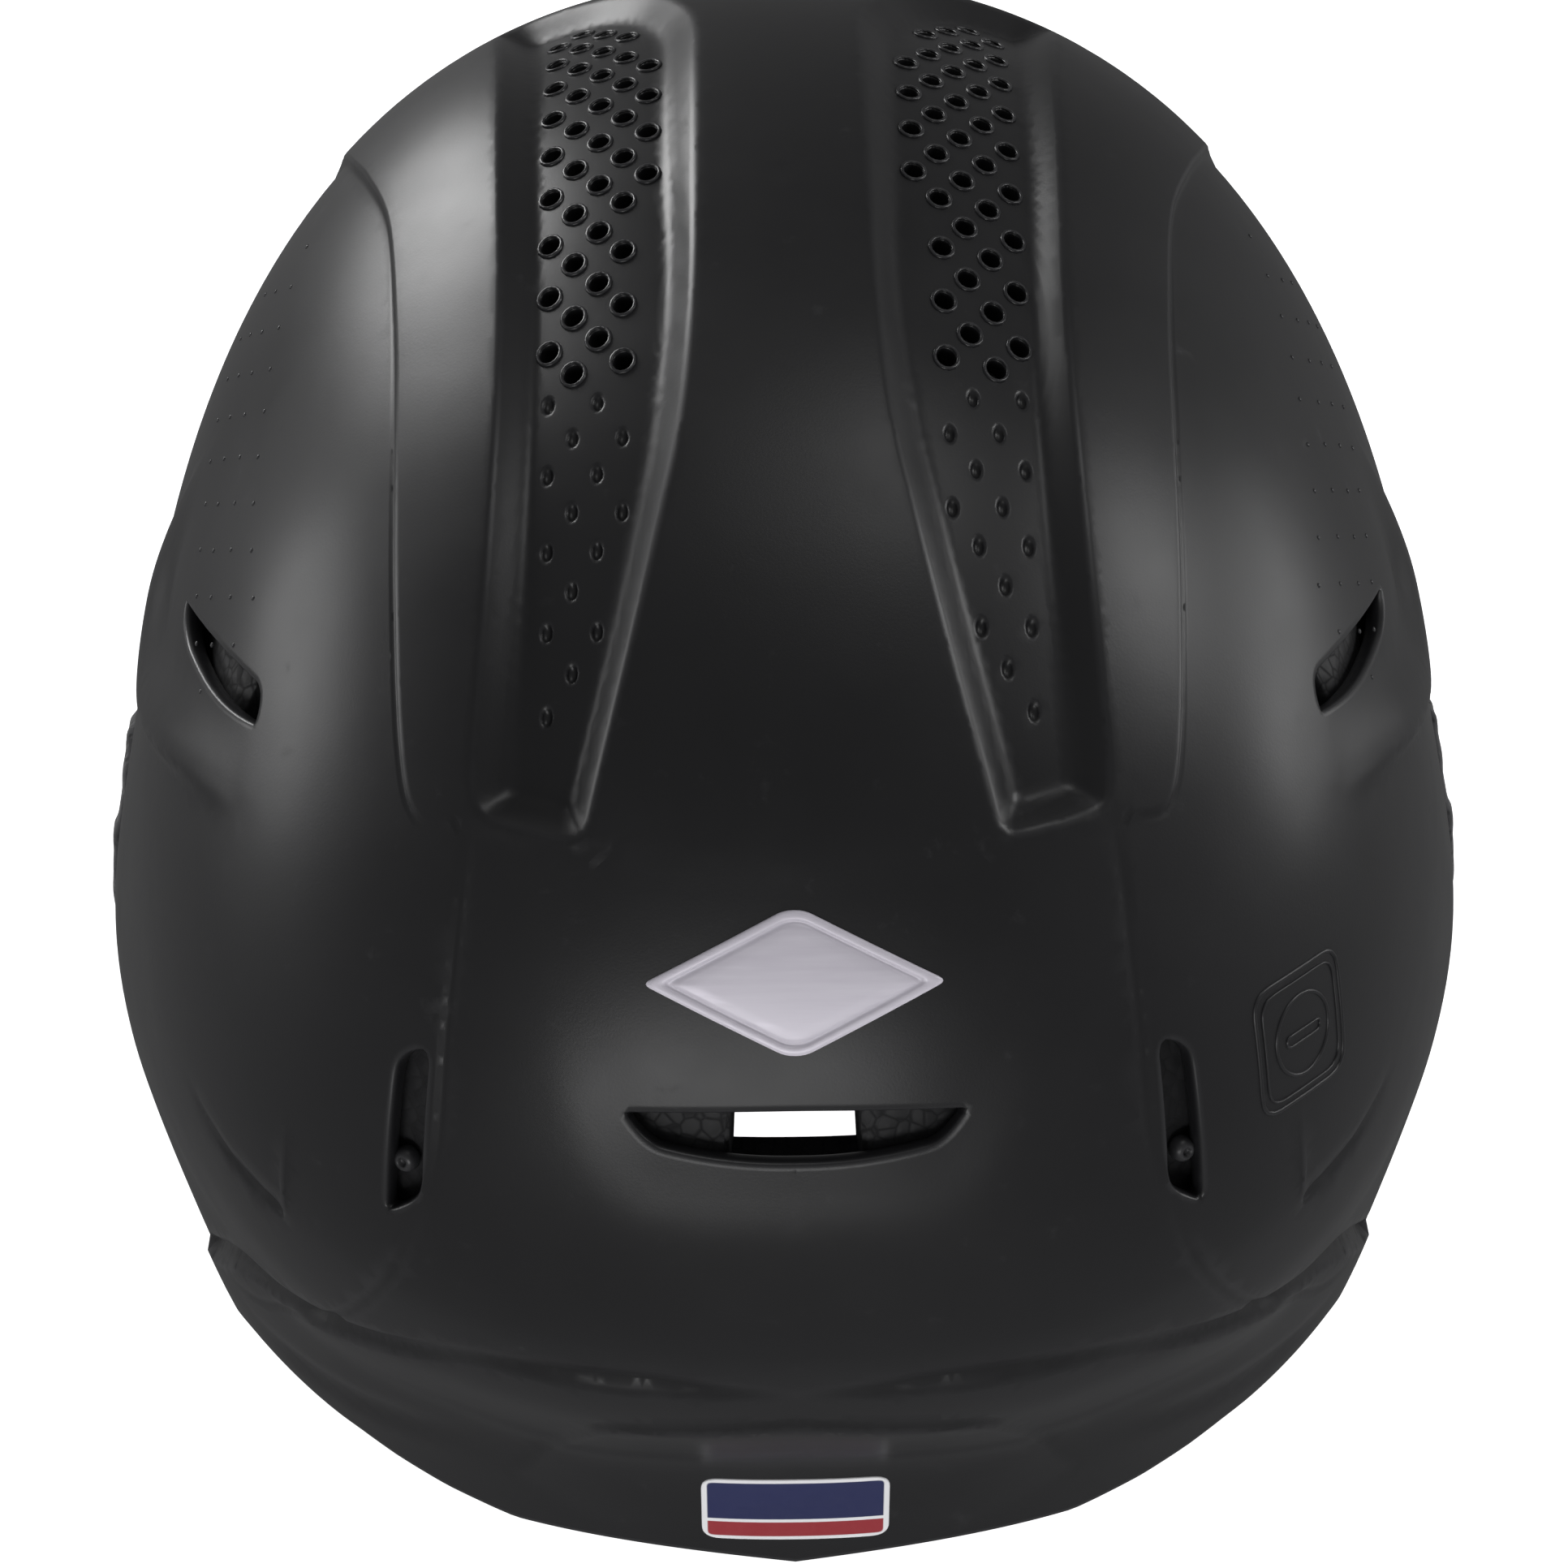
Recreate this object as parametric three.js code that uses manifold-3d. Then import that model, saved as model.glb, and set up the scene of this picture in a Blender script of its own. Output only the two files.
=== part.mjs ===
// Batting helmet with two ear flaps, a bill, raised crown panels and a padded inside.
// Millimetres, +Z up. The wearer faces -Y and the wearer's left is +X.
// The ear flaps stand on z = 0, and the origin is under the middle of the whole helmet.

import * as THREE from 'three';
import { mergeVertices } from 'three/addons/utils/BufferGeometryUtils.js';
import Module from 'manifold-3d';

const wasm = await Module();
wasm.setup();

// ---- Driving dimensions of the moulded shell ----

const CROWN_HEIGHT = 218;
const HALF_WIDTH = 111;
const FRONT_REACH = 142.5;      // ear line to forehead
const BACK_REACH = 128;         // ear line to back of head
const BILL_LENGTH = 60;
const WALL = 3.2;
const EAR_LINE_Y = (FRONT_REACH + BILL_LENGTH - BACK_REACH) / 2;

const SIDE_WAIST = 79;          // height where each wall starts to curve in to the crown
const FRONT_WAIST = 100;
const BACK_WAIST = 110;
const SIDE_POWER = 2.23;        // superellipse powers: 2 is an ellipse, more is boxier
const FRONT_POWER = 2.19;
const BACK_POWER = 1.94;
const FRONT_PLAN_POWER = 2.32;

const EAR_BULGE = 5.5;
const EAR_BULGE_CENTRE = { y: 8, z: 72 };
const EAR_BULGE_SPREAD = { y: 42, z: 32 };

const CHANNEL_DEPTH = 4;
const CHANNEL_FRONT_Y = -98;
const BILL_HALF_ANGLE = 48;
const BILL_THICKNESS = 3.5;
const BILL_DROOP = 18;          // degrees below level
const BILL_FAN = 0.3;           // how much of its angle from the front each part of the bill points
const BILL_ROOT_Z = 109;        // height of the root in the middle
const BILL_ARCH = 16;           // how much lower the ends of the root are
const EAR_HOLE = { y: -14, z: 72, halfLength: 23, halfHeight: 26 };

// The push-in pins that hold the rear liner, at the foot of the upright slots.
const PIN = { degrees: 150.4, z: 141, headRadius: 2, shankRadius: 1.1, holeGap: 0.4 };

// ---- Layers of the inside, as depths below the outer surface ----

const LINER = { outer: 4.6, inner: 16 };
const CROWN_LINER = { outer: 8.6, inner: 20 };
const TAB = { outer: 16.7, inner: 17.7 };
const PAD = { outer: 18.4, inner: 27 };
const EAR_PAD = { outer: 4.6, inner: 19 };
const JAW_PAD = { outer: 4.6, inner: 15 };
const COLLAR_PROUD = 2.2;       // how far the ear pad's collar stands out of the ear hole
const COLLAR_GAP = 0.6;
const COLLAR_WALL = 4.5;
const BADGE = { outer: -1.1, inner: -0.35 };
const LABEL = { outer: -0.8, inner: -0.35 };

const RING_STEPS = 54;
const RISE_STEPS = 17;
const THROUGH = 300;            // longer than any wall that a cutter passes through

// ---- The shell's surface ----

// A smooth curve through the points that never overshoots between them.
function smoothCurve(points) {
  const xs = points.map((point) => point[0]);
  const ys = points.map((point) => point[1]);
  const last = xs.length - 1;
  const chord = (i) => (ys[i + 1] - ys[i]) / (xs[i + 1] - xs[i]);
  const slope = (i) => {
    if (i === 0) return chord(0);
    if (i === last) return chord(last - 1);
    const before = chord(i - 1);
    const after = chord(i);
    if (before * after <= 0) return 0;
    const weightBefore = 2 * (xs[i + 1] - xs[i]) + (xs[i] - xs[i - 1]);
    const weightAfter = (xs[i + 1] - xs[i]) + 2 * (xs[i] - xs[i - 1]);
    return (weightBefore + weightAfter) / (weightBefore / before + weightAfter / after);
  };
  return (value) => {
    const x = THREE.MathUtils.clamp(value, xs[0], xs[last]);
    let i = 0;
    while (i < last - 1 && x > xs[i + 1]) i += 1;
    const width = xs[i + 1] - xs[i];
    const t = (x - xs[i]) / width;
    const fromStart = (2 * t ** 3 - 3 * t ** 2 + 1) * ys[i] + (t ** 3 - 2 * t ** 2 + t) * width * slope(i);
    const fromEnd = (3 * t ** 2 - 2 * t ** 3) * ys[i + 1] + (t ** 3 - t ** 2) * width * slope(i + 1);
    return fromStart + fromEnd;
  };
}

// How the walls draw in below the waist, as a share of the full reach at each height.
const sideTaper = smoothCurve([[0, 0.9], [20, 0.955], [45, 0.988], [70, 1]]);
const frontTaper = smoothCurve([[0, 0.9], [60, 0.97], [100, 1]]);
const napeTaper = smoothCurve([[40, 0.95], [55, 0.935], [70, 0.925], [85, 0.96], [100, 0.99], [118, 1]]);
const backPlanPower = smoothCurve([[40, 2.15], [110, 2.4], [200, 2.25]]);

function domeShare(z, waist, top, power) {
  const rise = THREE.MathUtils.clamp((z - waist) / (top - waist), 0, 1);
  return Math.max((1 - rise ** power) ** (1 / power), 1e-5);
}

// The point at an angle from the front (positive towards the wearer's left) and a height,
// on the surface that lies `depth` below the outer one.
function shellPoint(degrees, z, depth) {
  const angle = THREE.MathUtils.degToRad(degrees);
  const top = CROWN_HEIGHT - depth;
  const inFront = Math.cos(angle) > 0;
  const side = (HALF_WIDTH - depth) * domeShare(z, SIDE_WAIST, top, SIDE_POWER) * sideTaper(z);
  const front = (FRONT_REACH - depth) * domeShare(z, FRONT_WAIST, top, FRONT_POWER) * frontTaper(z);
  const back = (BACK_REACH - depth) * domeShare(z, BACK_WAIST, top, BACK_POWER) * napeTaper(z);
  const reach = inFront ? front : back;
  const power = inFront ? FRONT_PLAN_POWER : backPlanPower(z);
  const across = (Math.abs(Math.sin(angle)) / side) ** power;
  const along = (Math.abs(Math.cos(angle)) / reach) ** power;
  const radius = (across + along) ** (-1 / power);
  const x = radius * Math.sin(angle);
  const y = -radius * Math.cos(angle);
  const offY = (y - EAR_BULGE_CENTRE.y) / EAR_BULGE_SPREAD.y;
  const offZ = (z - EAR_BULGE_CENTRE.z) / EAR_BULGE_SPREAD.z;
  const sideShare = Math.min(Math.abs(x) / 90, 1);
  const bulge = Math.sign(x) * EAR_BULGE * Math.exp(-(offY ** 2) - offZ ** 2) * sideShare;
  return new THREE.Vector3(x + bulge, y + EAR_LINE_Y, z);
}

// Height of the same layered surface above a plan position, for pieces across the crown.
function crownPoint(x, y, depth) {
  const degrees = THREE.MathUtils.radToDeg(Math.atan2(x, -y));
  const radius = Math.hypot(x, y);
  let low = BACK_WAIST;
  let high = CROWN_HEIGHT - depth;
  for (let step = 0; step < 30; step += 1) {
    const middle = (low + high) / 2;
    const wall = shellPoint(degrees, middle, depth);
    if (Math.hypot(wall.x, wall.y - EAR_LINE_Y) > radius) low = middle;
    else high = middle;
  }
  return new THREE.Vector3(x, y + EAR_LINE_Y, low);
}

// A local set of axes on the outer surface: X level, Y up the wall, Z straight out.
function wallFrame(degrees, z) {
  const centre = shellPoint(degrees, z, 0);
  const level = shellPoint(degrees + 1, z, 0).sub(shellPoint(degrees - 1, z, 0)).normalize();
  const up = shellPoint(degrees, z + 1, 0).sub(shellPoint(degrees, z - 1, 0)).normalize();
  const out = new THREE.Vector3().crossVectors(level, up).normalize();
  up.crossVectors(out, level);
  return new THREE.Matrix4().makeBasis(level, up, out).setPosition(centre);
}

// ---- Solids and booleans ----

function geometryFrom(points, triangles) {
  const geometry = new THREE.BufferGeometry();
  const flat = points.flatMap((point) => [point.x, point.y, point.z]);
  geometry.setAttribute('position', new THREE.Float32BufferAttribute(flat, 3));
  geometry.setIndex(triangles.flat());
  return geometry;
}

function signedVolume(geometry) {
  const place = geometry.attributes.position;
  const index = geometry.index.array;
  const corner = [new THREE.Vector3(), new THREE.Vector3(), new THREE.Vector3()];
  let volume = 0;
  for (let i = 0; i < index.length; i += 3) {
    corner.forEach((point, k) => point.fromBufferAttribute(place, index[i + k]));
    volume += corner[0].dot(corner[1].clone().cross(corner[2]));
  }
  return volume;
}

function toSolid(source) {
  const bare = source.clone();
  bare.deleteAttribute('normal');
  bare.deleteAttribute('uv');
  const geometry = mergeVertices(bare, 1e-4);
  const triVerts = Uint32Array.from(geometry.index.array);
  if (signedVolume(geometry) < 0) {
    for (let i = 0; i < triVerts.length; i += 3) {
      [triVerts[i], triVerts[i + 1]] = [triVerts[i + 1], triVerts[i]];
    }
  }
  const vertProperties = Float32Array.from(geometry.attributes.position.array);
  return new wasm.Manifold(new wasm.Mesh({ numProp: 3, vertProperties, triVerts }));
}

function toGeometry(solid) {
  const mesh = solid.getMesh();
  const geometry = new THREE.BufferGeometry();
  geometry.setAttribute('position', new THREE.BufferAttribute(mesh.vertProperties, 3));
  geometry.setIndex(new THREE.BufferAttribute(mesh.triVerts, 1));
  geometry.computeVertexNormals();
  return geometry;
}

// The whole dome at one depth, closed by a level floor.
function domeSolid(depth, floorZ) {
  const top = CROWN_HEIGHT - depth;
  const points = [new THREE.Vector3(0, EAR_LINE_Y, top)];
  const triangles = [];
  for (let row = 1; row <= RISE_STEPS; row += 1) {
    const z = top - (top - floorZ) * (1 - Math.cos((Math.PI / 2) * (row / RISE_STEPS)));
    for (let i = 0; i < RING_STEPS; i += 1) points.push(shellPoint((360 * i) / RING_STEPS, z, depth));
  }
  points.push(new THREE.Vector3(0, EAR_LINE_Y, floorZ));
  const at = (row, i) => 1 + (row - 1) * RING_STEPS + (i % RING_STEPS);
  for (let i = 0; i < RING_STEPS; i += 1) {
    triangles.push([0, at(1, i), at(1, i + 1)]);
    for (let row = 1; row < RISE_STEPS; row += 1) {
      triangles.push([at(row, i), at(row + 1, i), at(row + 1, i + 1)]);
      triangles.push([at(row, i), at(row + 1, i + 1), at(row, i + 1)]);
    }
    triangles.push([points.length - 1, at(RISE_STEPS, i + 1), at(RISE_STEPS, i)]);
  }
  return toSolid(geometryFrom(points, triangles));
}

// A closed slab between two layers. `place(u, v, face)` gives a point for u and v from -1 to 1
// and face 0 (outer) or 1 (inner). `rounding` draws the four corners in, from 0 to 1.
function slabSolid(place, stepsU, stepsV, rounding) {
  const points = [];
  const triangles = [];
  for (const face of [0, 1]) {
    for (let i = 0; i <= stepsU; i += 1) {
      for (let j = 0; j <= stepsV; j += 1) {
        const u = (2 * i) / stepsU - 1;
        const v = (2 * j) / stepsV - 1;
        const drawnU = u * Math.sqrt(1 - (rounding * v * v) / 2);
        const drawnV = v * Math.sqrt(1 - (rounding * u * u) / 2);
        points.push(place(drawnU, drawnV, face));
      }
    }
  }
  const at = (face, i, j) => face * (stepsU + 1) * (stepsV + 1) + i * (stepsV + 1) + j;
  const quad = (a, b, c, d) => triangles.push([a, b, c], [a, c, d]);
  for (let i = 0; i < stepsU; i += 1) {
    for (let j = 0; j < stepsV; j += 1) {
      quad(at(0, i, j), at(0, i + 1, j), at(0, i + 1, j + 1), at(0, i, j + 1));
      quad(at(1, i, j), at(1, i, j + 1), at(1, i + 1, j + 1), at(1, i + 1, j));
    }
    quad(at(0, i, 0), at(1, i, 0), at(1, i + 1, 0), at(0, i + 1, 0));
    quad(at(0, i, stepsV), at(0, i + 1, stepsV), at(1, i + 1, stepsV), at(1, i, stepsV));
  }
  for (let j = 0; j < stepsV; j += 1) {
    quad(at(0, 0, j), at(0, 0, j + 1), at(1, 0, j + 1), at(1, 0, j));
    quad(at(0, stepsU, j), at(1, stepsU, j), at(1, stepsU, j + 1), at(0, stepsU, j + 1));
  }
  return toSolid(geometryFrom(points, triangles));
}

// A piece that follows the wall, between two angles, two heights and two depths.
function wallPiece({ from, to, low, high, layer, rounding = 0.5 }) {
  const place = (u, v, face) => {
    const degrees = (from + to) / 2 + (u * (to - from)) / 2;
    const z = (low + high) / 2 + (v * (high - low)) / 2;
    return shellPoint(degrees, z, face === 0 ? layer.outer : layer.inner);
  };
  const stepsU = Math.max(4, Math.round(Math.abs(to - from) / 7));
  const stepsV = Math.max(4, Math.round((high - low) / 11));
  return slabSolid(place, stepsU, stepsV, rounding);
}

// A piece that lies across the crown, from its plan size and two depths.
function crownPiece({ halfWidth, halfLength, y, layer, steps, rounding = 0.9 }) {
  const place = (u, v, face) => {
    const depth = face === 0 ? layer.outer : layer.inner;
    return crownPoint(u * halfWidth, y + v * halfLength, depth);
  };
  return slabSolid(place, steps, steps, rounding);
}

// A straight cutter: the outline, pushed along the third axis of `frame` from start to end.
function cutter(outline, frame, start, end) {
  const geometry = new THREE.ExtrudeGeometry(outline, {
    depth: end - start,
    bevelEnabled: false,
    curveSegments: 8,
  });
  geometry.translate(0, 0, start);
  geometry.applyMatrix4(frame);
  return toSolid(geometry);
}

function basis(x, y, z) {
  const vector = (v) => new THREE.Vector3(...v);
  return new THREE.Matrix4().makeBasis(vector(x), vector(y), vector(z)).setPosition(0, EAR_LINE_Y, 0);
}

const SIDE_VIEW = basis([0, 1, 0], [0, 0, 1], [1, 0, 0]);      // outline in y and z, pushed along x
const REAR_VIEW = basis([-1, 0, 0], [0, 0, 1], [0, 1, 0]);     // outline in -x and z, pushed along y
const PLAN_VIEW = basis([1, 0, 0], [0, 1, 0], [0, 0, 1]);      // outline in x and y, pushed along z

function outlineThrough(points) {
  const outline = new THREE.Shape();
  outline.setFromPoints(points.map((point) => new THREE.Vector2(point[0], point[1])));
  return outline;
}

function mirrored(points) {
  return points.map((point) => [-point[0], point[1]]).reverse();
}

function roundedRectangle(width, height, radius) {
  const x = width / 2;
  const y = height / 2;
  const outline = new THREE.Shape();
  outline.moveTo(radius - x, -y);
  outline.lineTo(x - radius, -y);
  outline.absarc(x - radius, radius - y, radius, -Math.PI / 2, 0);
  outline.absarc(x - radius, y - radius, radius, 0, Math.PI / 2);
  outline.absarc(radius - x, y - radius, radius, Math.PI / 2, Math.PI);
  outline.absarc(radius - x, radius - y, radius, Math.PI, 1.5 * Math.PI);
  return outline;
}

// ---- Openings of the shell ----

// Everything below the rim, seen from the side: brow edge, ear flap and nape edge.
function rimCutter() {
  const far = 220;
  const outline = new THREE.Shape();
  const curve = (points) => outline.splineThru(points.map((point) => new THREE.Vector2(...point)));
  outline.moveTo(-far, -far);
  outline.lineTo(-far, 106);
  outline.lineTo(-138, 106);
  curve([[-118, 103], [-97, 98], [-78, 86], [-66, 66], [-57, 36], [-51, 14]]);
  outline.quadraticCurveTo(-48, 0, -36, 0);
  outline.lineTo(24, 0);
  outline.quadraticCurveTo(38, 0, 46, 10);
  curve([[58, 27], [72, 40], [95, 45]]);
  outline.lineTo(far, 42);
  outline.lineTo(far, -far);
  return cutter(outline, SIDE_VIEW, -THROUGH / 2, THROUGH / 2);
}

function earHole(grow, fromX, toX) {
  const outline = new THREE.Shape();
  const halfLength = EAR_HOLE.halfLength + grow;
  const halfHeight = EAR_HOLE.halfHeight + grow;
  outline.absellipse(EAR_HOLE.y, EAR_HOLE.z, halfLength, halfHeight, 0, 2 * Math.PI);
  return cutter(outline, SIDE_VIEW, fromX, toX);
}

// The wide slot in the middle of the back.
function rearSlot() {
  const outline = new THREE.Shape();
  outline.moveTo(-25.6, 160.6);
  outline.lineTo(-21.5, 156.2);
  outline.quadraticCurveTo(0, 152.4, 21.5, 156.2);
  outline.lineTo(25.6, 160.6);
  outline.quadraticCurveTo(0, 163.6, -25.6, 160.6);
  return cutter(outline, REAR_VIEW, 60, THROUGH / 2);
}

// The two upright slots beside it.
function uprightSlot(side) {
  const corners = [[53.9, 161.2], [59.7, 157], [62.6, 131.4], [56.2, 138]];
  const outline = outlineThrough(side > 0 ? mirrored(corners) : corners);
  return cutter(outline, REAR_VIEW, 60, THROUGH / 2);
}

// The crescent vents above the ears, drawn in the wall's own axes.
function sideVent(side) {
  const centre = { degrees: 106.5, z: 166 };
  const lean = THREE.MathUtils.degToRad(28);
  const outline = new THREE.Shape();
  outline.moveTo(-23, 0.8);
  outline.quadraticCurveTo(-20, -3.4, -13, -4.4);
  outline.quadraticCurveTo(6, -6, 21, -2.4);
  outline.quadraticCurveTo(20.5, 3, 16.5, 3.6);
  outline.quadraticCurveTo(0, 3, -23, 0.8);
  const frame = wallFrame(centre.degrees, centre.z).multiply(new THREE.Matrix4().makeRotationZ(lean));
  if (side < 0) frame.premultiply(new THREE.Matrix4().makeScale(-1, 1, 1));
  return cutter(outline, frame, -14, 14);
}

// A long recess from the back of the crown to the forehead, seen in plan.
function crownChannel(side, grow) {
  const outer = [[47 + grow, 72 + grow], [45.8, 52], [43.6, 14], [44.6, -42], [47.3, CHANNEL_FRONT_Y - grow]];
  const inner = [
    [22, CHANNEL_FRONT_Y - grow],
    [13.2, -77],
    [13.5, -31],
    [15.6, 20],
    [23.4, 57],
    [29.6, 80 + grow],
  ];
  const widened = [
    ...outer.map((point) => [point[0] + grow, point[1]]),
    ...inner.map((point) => [point[0] - grow, point[1]]),
  ];
  const outline = outlineThrough(side > 0 ? widened : mirrored(widened));
  return cutter(outline, PLAN_VIEW, 120, THROUGH);
}

// The bill, from inside the front wall to its rounded edge.
function bill() {
  const rootDepth = WALL / 2;
  const place = (u, v, face) => {
    const degrees = u * BILL_HALF_ANGLE;
    const heading = THREE.MathUtils.degToRad(degrees * BILL_FAN);
    const root = shellPoint(degrees, BILL_ROOT_Z - BILL_ARCH * u * u, rootDepth);
    const length = (BILL_LENGTH + rootDepth) * (1 - Math.abs(u) ** 3) ** 0.7 * ((v + 1) / 2);
    const drop = length * Math.tan(THREE.MathUtils.degToRad(BILL_DROOP));
    const thickness = face === 0 ? BILL_THICKNESS / 2 : -BILL_THICKNESS / 2;
    root.x += length * Math.sin(heading);
    root.y -= length * Math.cos(heading);
    root.z += thickness - drop;
    return root;
  };
  return slabSolid(place, 24, 6, 0);
}

// ---- Sub-parts ----

function outerShell() {
  let body = domeSolid(0, -12);
  let hollow = domeSolid(WALL, -20);
  const channelFloor = domeSolid(CHANNEL_DEPTH, -12);
  const channelBack = domeSolid(CHANNEL_DEPTH + WALL, -20);
  for (const side of [1, -1]) {
    body = body.subtract(crownChannel(side, 0).subtract(channelFloor));
    hollow = hollow.subtract(crownChannel(side, WALL).subtract(channelBack));
  }
  let shell = body.subtract(hollow).subtract(rimCutter()).add(bill());
  shell = shell.subtract(earHole(0, -THROUGH / 2, THROUGH / 2)).subtract(rearSlot());
  for (const side of [1, -1]) shell = shell.subtract(uprightSlot(side)).subtract(sideVent(side));
  return shell;
}

function frontLiner() {
  return wallPiece({ from: -57, to: 57, low: 112, high: 160, layer: LINER, rounding: 0.3 });
}

function crownLiner() {
  return crownPiece({ halfWidth: 70, halfLength: 84, y: -8, layer: CROWN_LINER, steps: 10 });
}

// One moulding across the back, notched behind the rear slot and drilled for its two pins.
function rearLiner() {
  const liner = wallPiece({ from: 118, to: 242, low: 62, high: 168, layer: LINER, rounding: 0.25 });
  const notch = outlineThrough([[-9.8, 200], [-8, 145], [8, 145], [9.8, 200]]);
  let drilled = liner.subtract(cutter(notch, REAR_VIEW, 40, THROUGH / 2));
  for (const side of [1, -1]) drilled = drilled.subtract(pinSolid(side, PIN.holeGap));
  return drilled;
}

function sideLiner(side) {
  return wallPiece({ from: side * 61, to: side * 114, low: 106, high: 168, layer: LINER, rounding: 0.25 });
}

function browPad() {
  return wallPiece({ from: -44, to: 44, low: 114, high: 146, layer: PAD });
}

function crownPad() {
  const layer = { outer: CROWN_LINER.inner + 2.4, inner: CROWN_LINER.inner + 10 };
  return crownPiece({ halfWidth: 34, halfLength: 48, y: -4, layer, steps: 8 });
}

function rearPad(side) {
  return wallPiece({ from: side * 138, to: side * 174.2, low: 76, high: 160, layer: PAD, rounding: 0.3 });
}

function sidePad(side) {
  return wallPiece({ from: side * 68, to: side * 108, low: 112, high: 156, layer: PAD });
}

// A padded ring round the ear, with a collar that fills the edge of the shell's ear hole.
function earPad(side) {
  const ring = wallPiece({
    from: side * 58,
    to: side * 114,
    low: 33,
    high: 101,
    layer: EAR_PAD,
    rounding: 0.6,
  });
  const near = side > 0 ? 60 : -THROUGH / 2;
  const far = side > 0 ? THROUGH / 2 : -60;
  const band = domeSolid(-COLLAR_PROUD, -5).subtract(domeSolid(EAR_PAD.outer + 2, -8));
  const collar = earHole(-COLLAR_GAP, near, far).intersect(band);
  return ring.add(collar).subtract(earHole(-COLLAR_GAP - COLLAR_WALL, near, far));
}

function jawPad(side) {
  return wallPiece({ from: side * 70, to: side * 106, low: 6, high: 29, layer: JAW_PAD });
}

// Hook tabs: thin patches between a liner and the pad that pulls off it.
function browTab() {
  return wallPiece({ from: -26, to: 26, low: 122, high: 138, layer: TAB });
}

function crownTab() {
  const layer = { outer: CROWN_LINER.inner + 0.7, inner: CROWN_LINER.inner + 1.7 };
  return crownPiece({ halfWidth: 18, halfLength: 24, y: -4, layer, steps: 4 });
}

function rearTab(side) {
  return wallPiece({ from: side * 149, to: side * 164, low: 100, high: 142, layer: TAB });
}

function sideTab(side) {
  return wallPiece({ from: side * 80, to: side * 97, low: 124, high: 144, layer: TAB });
}

// A push-in pin with a domed head, or its hole where `gap` is more than 0.
function pinSolid(side, gap) {
  const profile = [
    [0, -14 - gap],
    [PIN.shankRadius + gap, -14 - gap],
    [PIN.shankRadius + gap, -4.2],
    [PIN.headRadius, -4.2],
    [PIN.headRadius, -2.6],
    [PIN.headRadius * 0.6, -1.8],
    [0, -1.6],
  ];
  const lathe = new THREE.LatheGeometry(profile.map((point) => new THREE.Vector2(...point)), 16);
  lathe.rotateX(Math.PI / 2);
  lathe.applyMatrix4(wallFrame(side * PIN.degrees, PIN.z));
  return toSolid(lathe);
}

// A blank diamond badge above the rear slot.
function rearBadge() {
  const outline = outlineThrough([[-22.5, 0], [-1.5, -11], [1.5, -11], [22.5, 0], [1.5, 11], [-1.5, 11]]);
  const band = domeSolid(BADGE.outer, 0).subtract(domeSolid(BADGE.inner, -10));
  return cutter(outline, wallFrame(180, 177), -10, 10).intersect(band);
}

// A blank sticker on the nape.
function napeLabel() {
  const band = domeSolid(LABEL.outer, 0).subtract(domeSolid(LABEL.inner, -10));
  return cutter(roundedRectangle(31, 17, 3), wallFrame(180, 59), -10, 10).intersect(band);
}

// ---- Assembly ----

const MATERIALS = {
  shell: { color: 0x0c0c0d, roughness: 0.42, metalness: 0 },
  liner: { color: 0x17171a, roughness: 0.9, metalness: 0 },
  padding: { color: 0x2b2c30, roughness: 0.95, metalness: 0 },
  hook: { color: 0x101012, roughness: 0.98, metalness: 0 },
  pin: { color: 0x2a2a2c, roughness: 0.4, metalness: 0 },
  badge: { color: 0xc9c4d2, roughness: 0.3, metalness: 0.2 },
  label: { color: 0x2a2f55, roughness: 0.35, metalness: 0 },
};

const helmet = new THREE.Group();

function addPiece(name, finish, solid) {
  const mesh = new THREE.Mesh(toGeometry(solid), new THREE.MeshStandardMaterial(MATERIALS[finish]));
  mesh.name = name;
  helmet.add(mesh);
}

addPiece('outer_shell', 'shell', outerShell());
addPiece('front_liner', 'liner', frontLiner());
addPiece('crown_liner', 'liner', crownLiner());
addPiece('rear_liner', 'liner', rearLiner());
addPiece('brow_pad', 'padding', browPad());
addPiece('brow_hook_tab', 'hook', browTab());
addPiece('crown_pad', 'padding', crownPad());
addPiece('crown_hook_tab', 'hook', crownTab());
addPiece('rear_badge', 'badge', rearBadge());
addPiece('nape_label', 'label', napeLabel());

for (const [side, hand] of [[1, 'left'], [-1, 'right']]) {
  addPiece(`side_liner_${hand}`, 'liner', sideLiner(side));
  addPiece(`side_pad_${hand}`, 'padding', sidePad(side));
  addPiece(`side_hook_tab_${hand}`, 'hook', sideTab(side));
  addPiece(`rear_pad_${hand}`, 'padding', rearPad(side));
  addPiece(`rear_hook_tab_${hand}`, 'hook', rearTab(side));
  addPiece(`ear_pad_${hand}`, 'padding', earPad(side));
  addPiece(`jaw_pad_${hand}`, 'padding', jawPad(side));
  addPiece(`liner_pin_${hand}`, 'pin', pinSolid(side, 0));
}

export default helmet;
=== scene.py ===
import math

import bmesh
import bpy
import numpy as np
from mathutils import Matrix, Vector, geometry, kdtree


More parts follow.
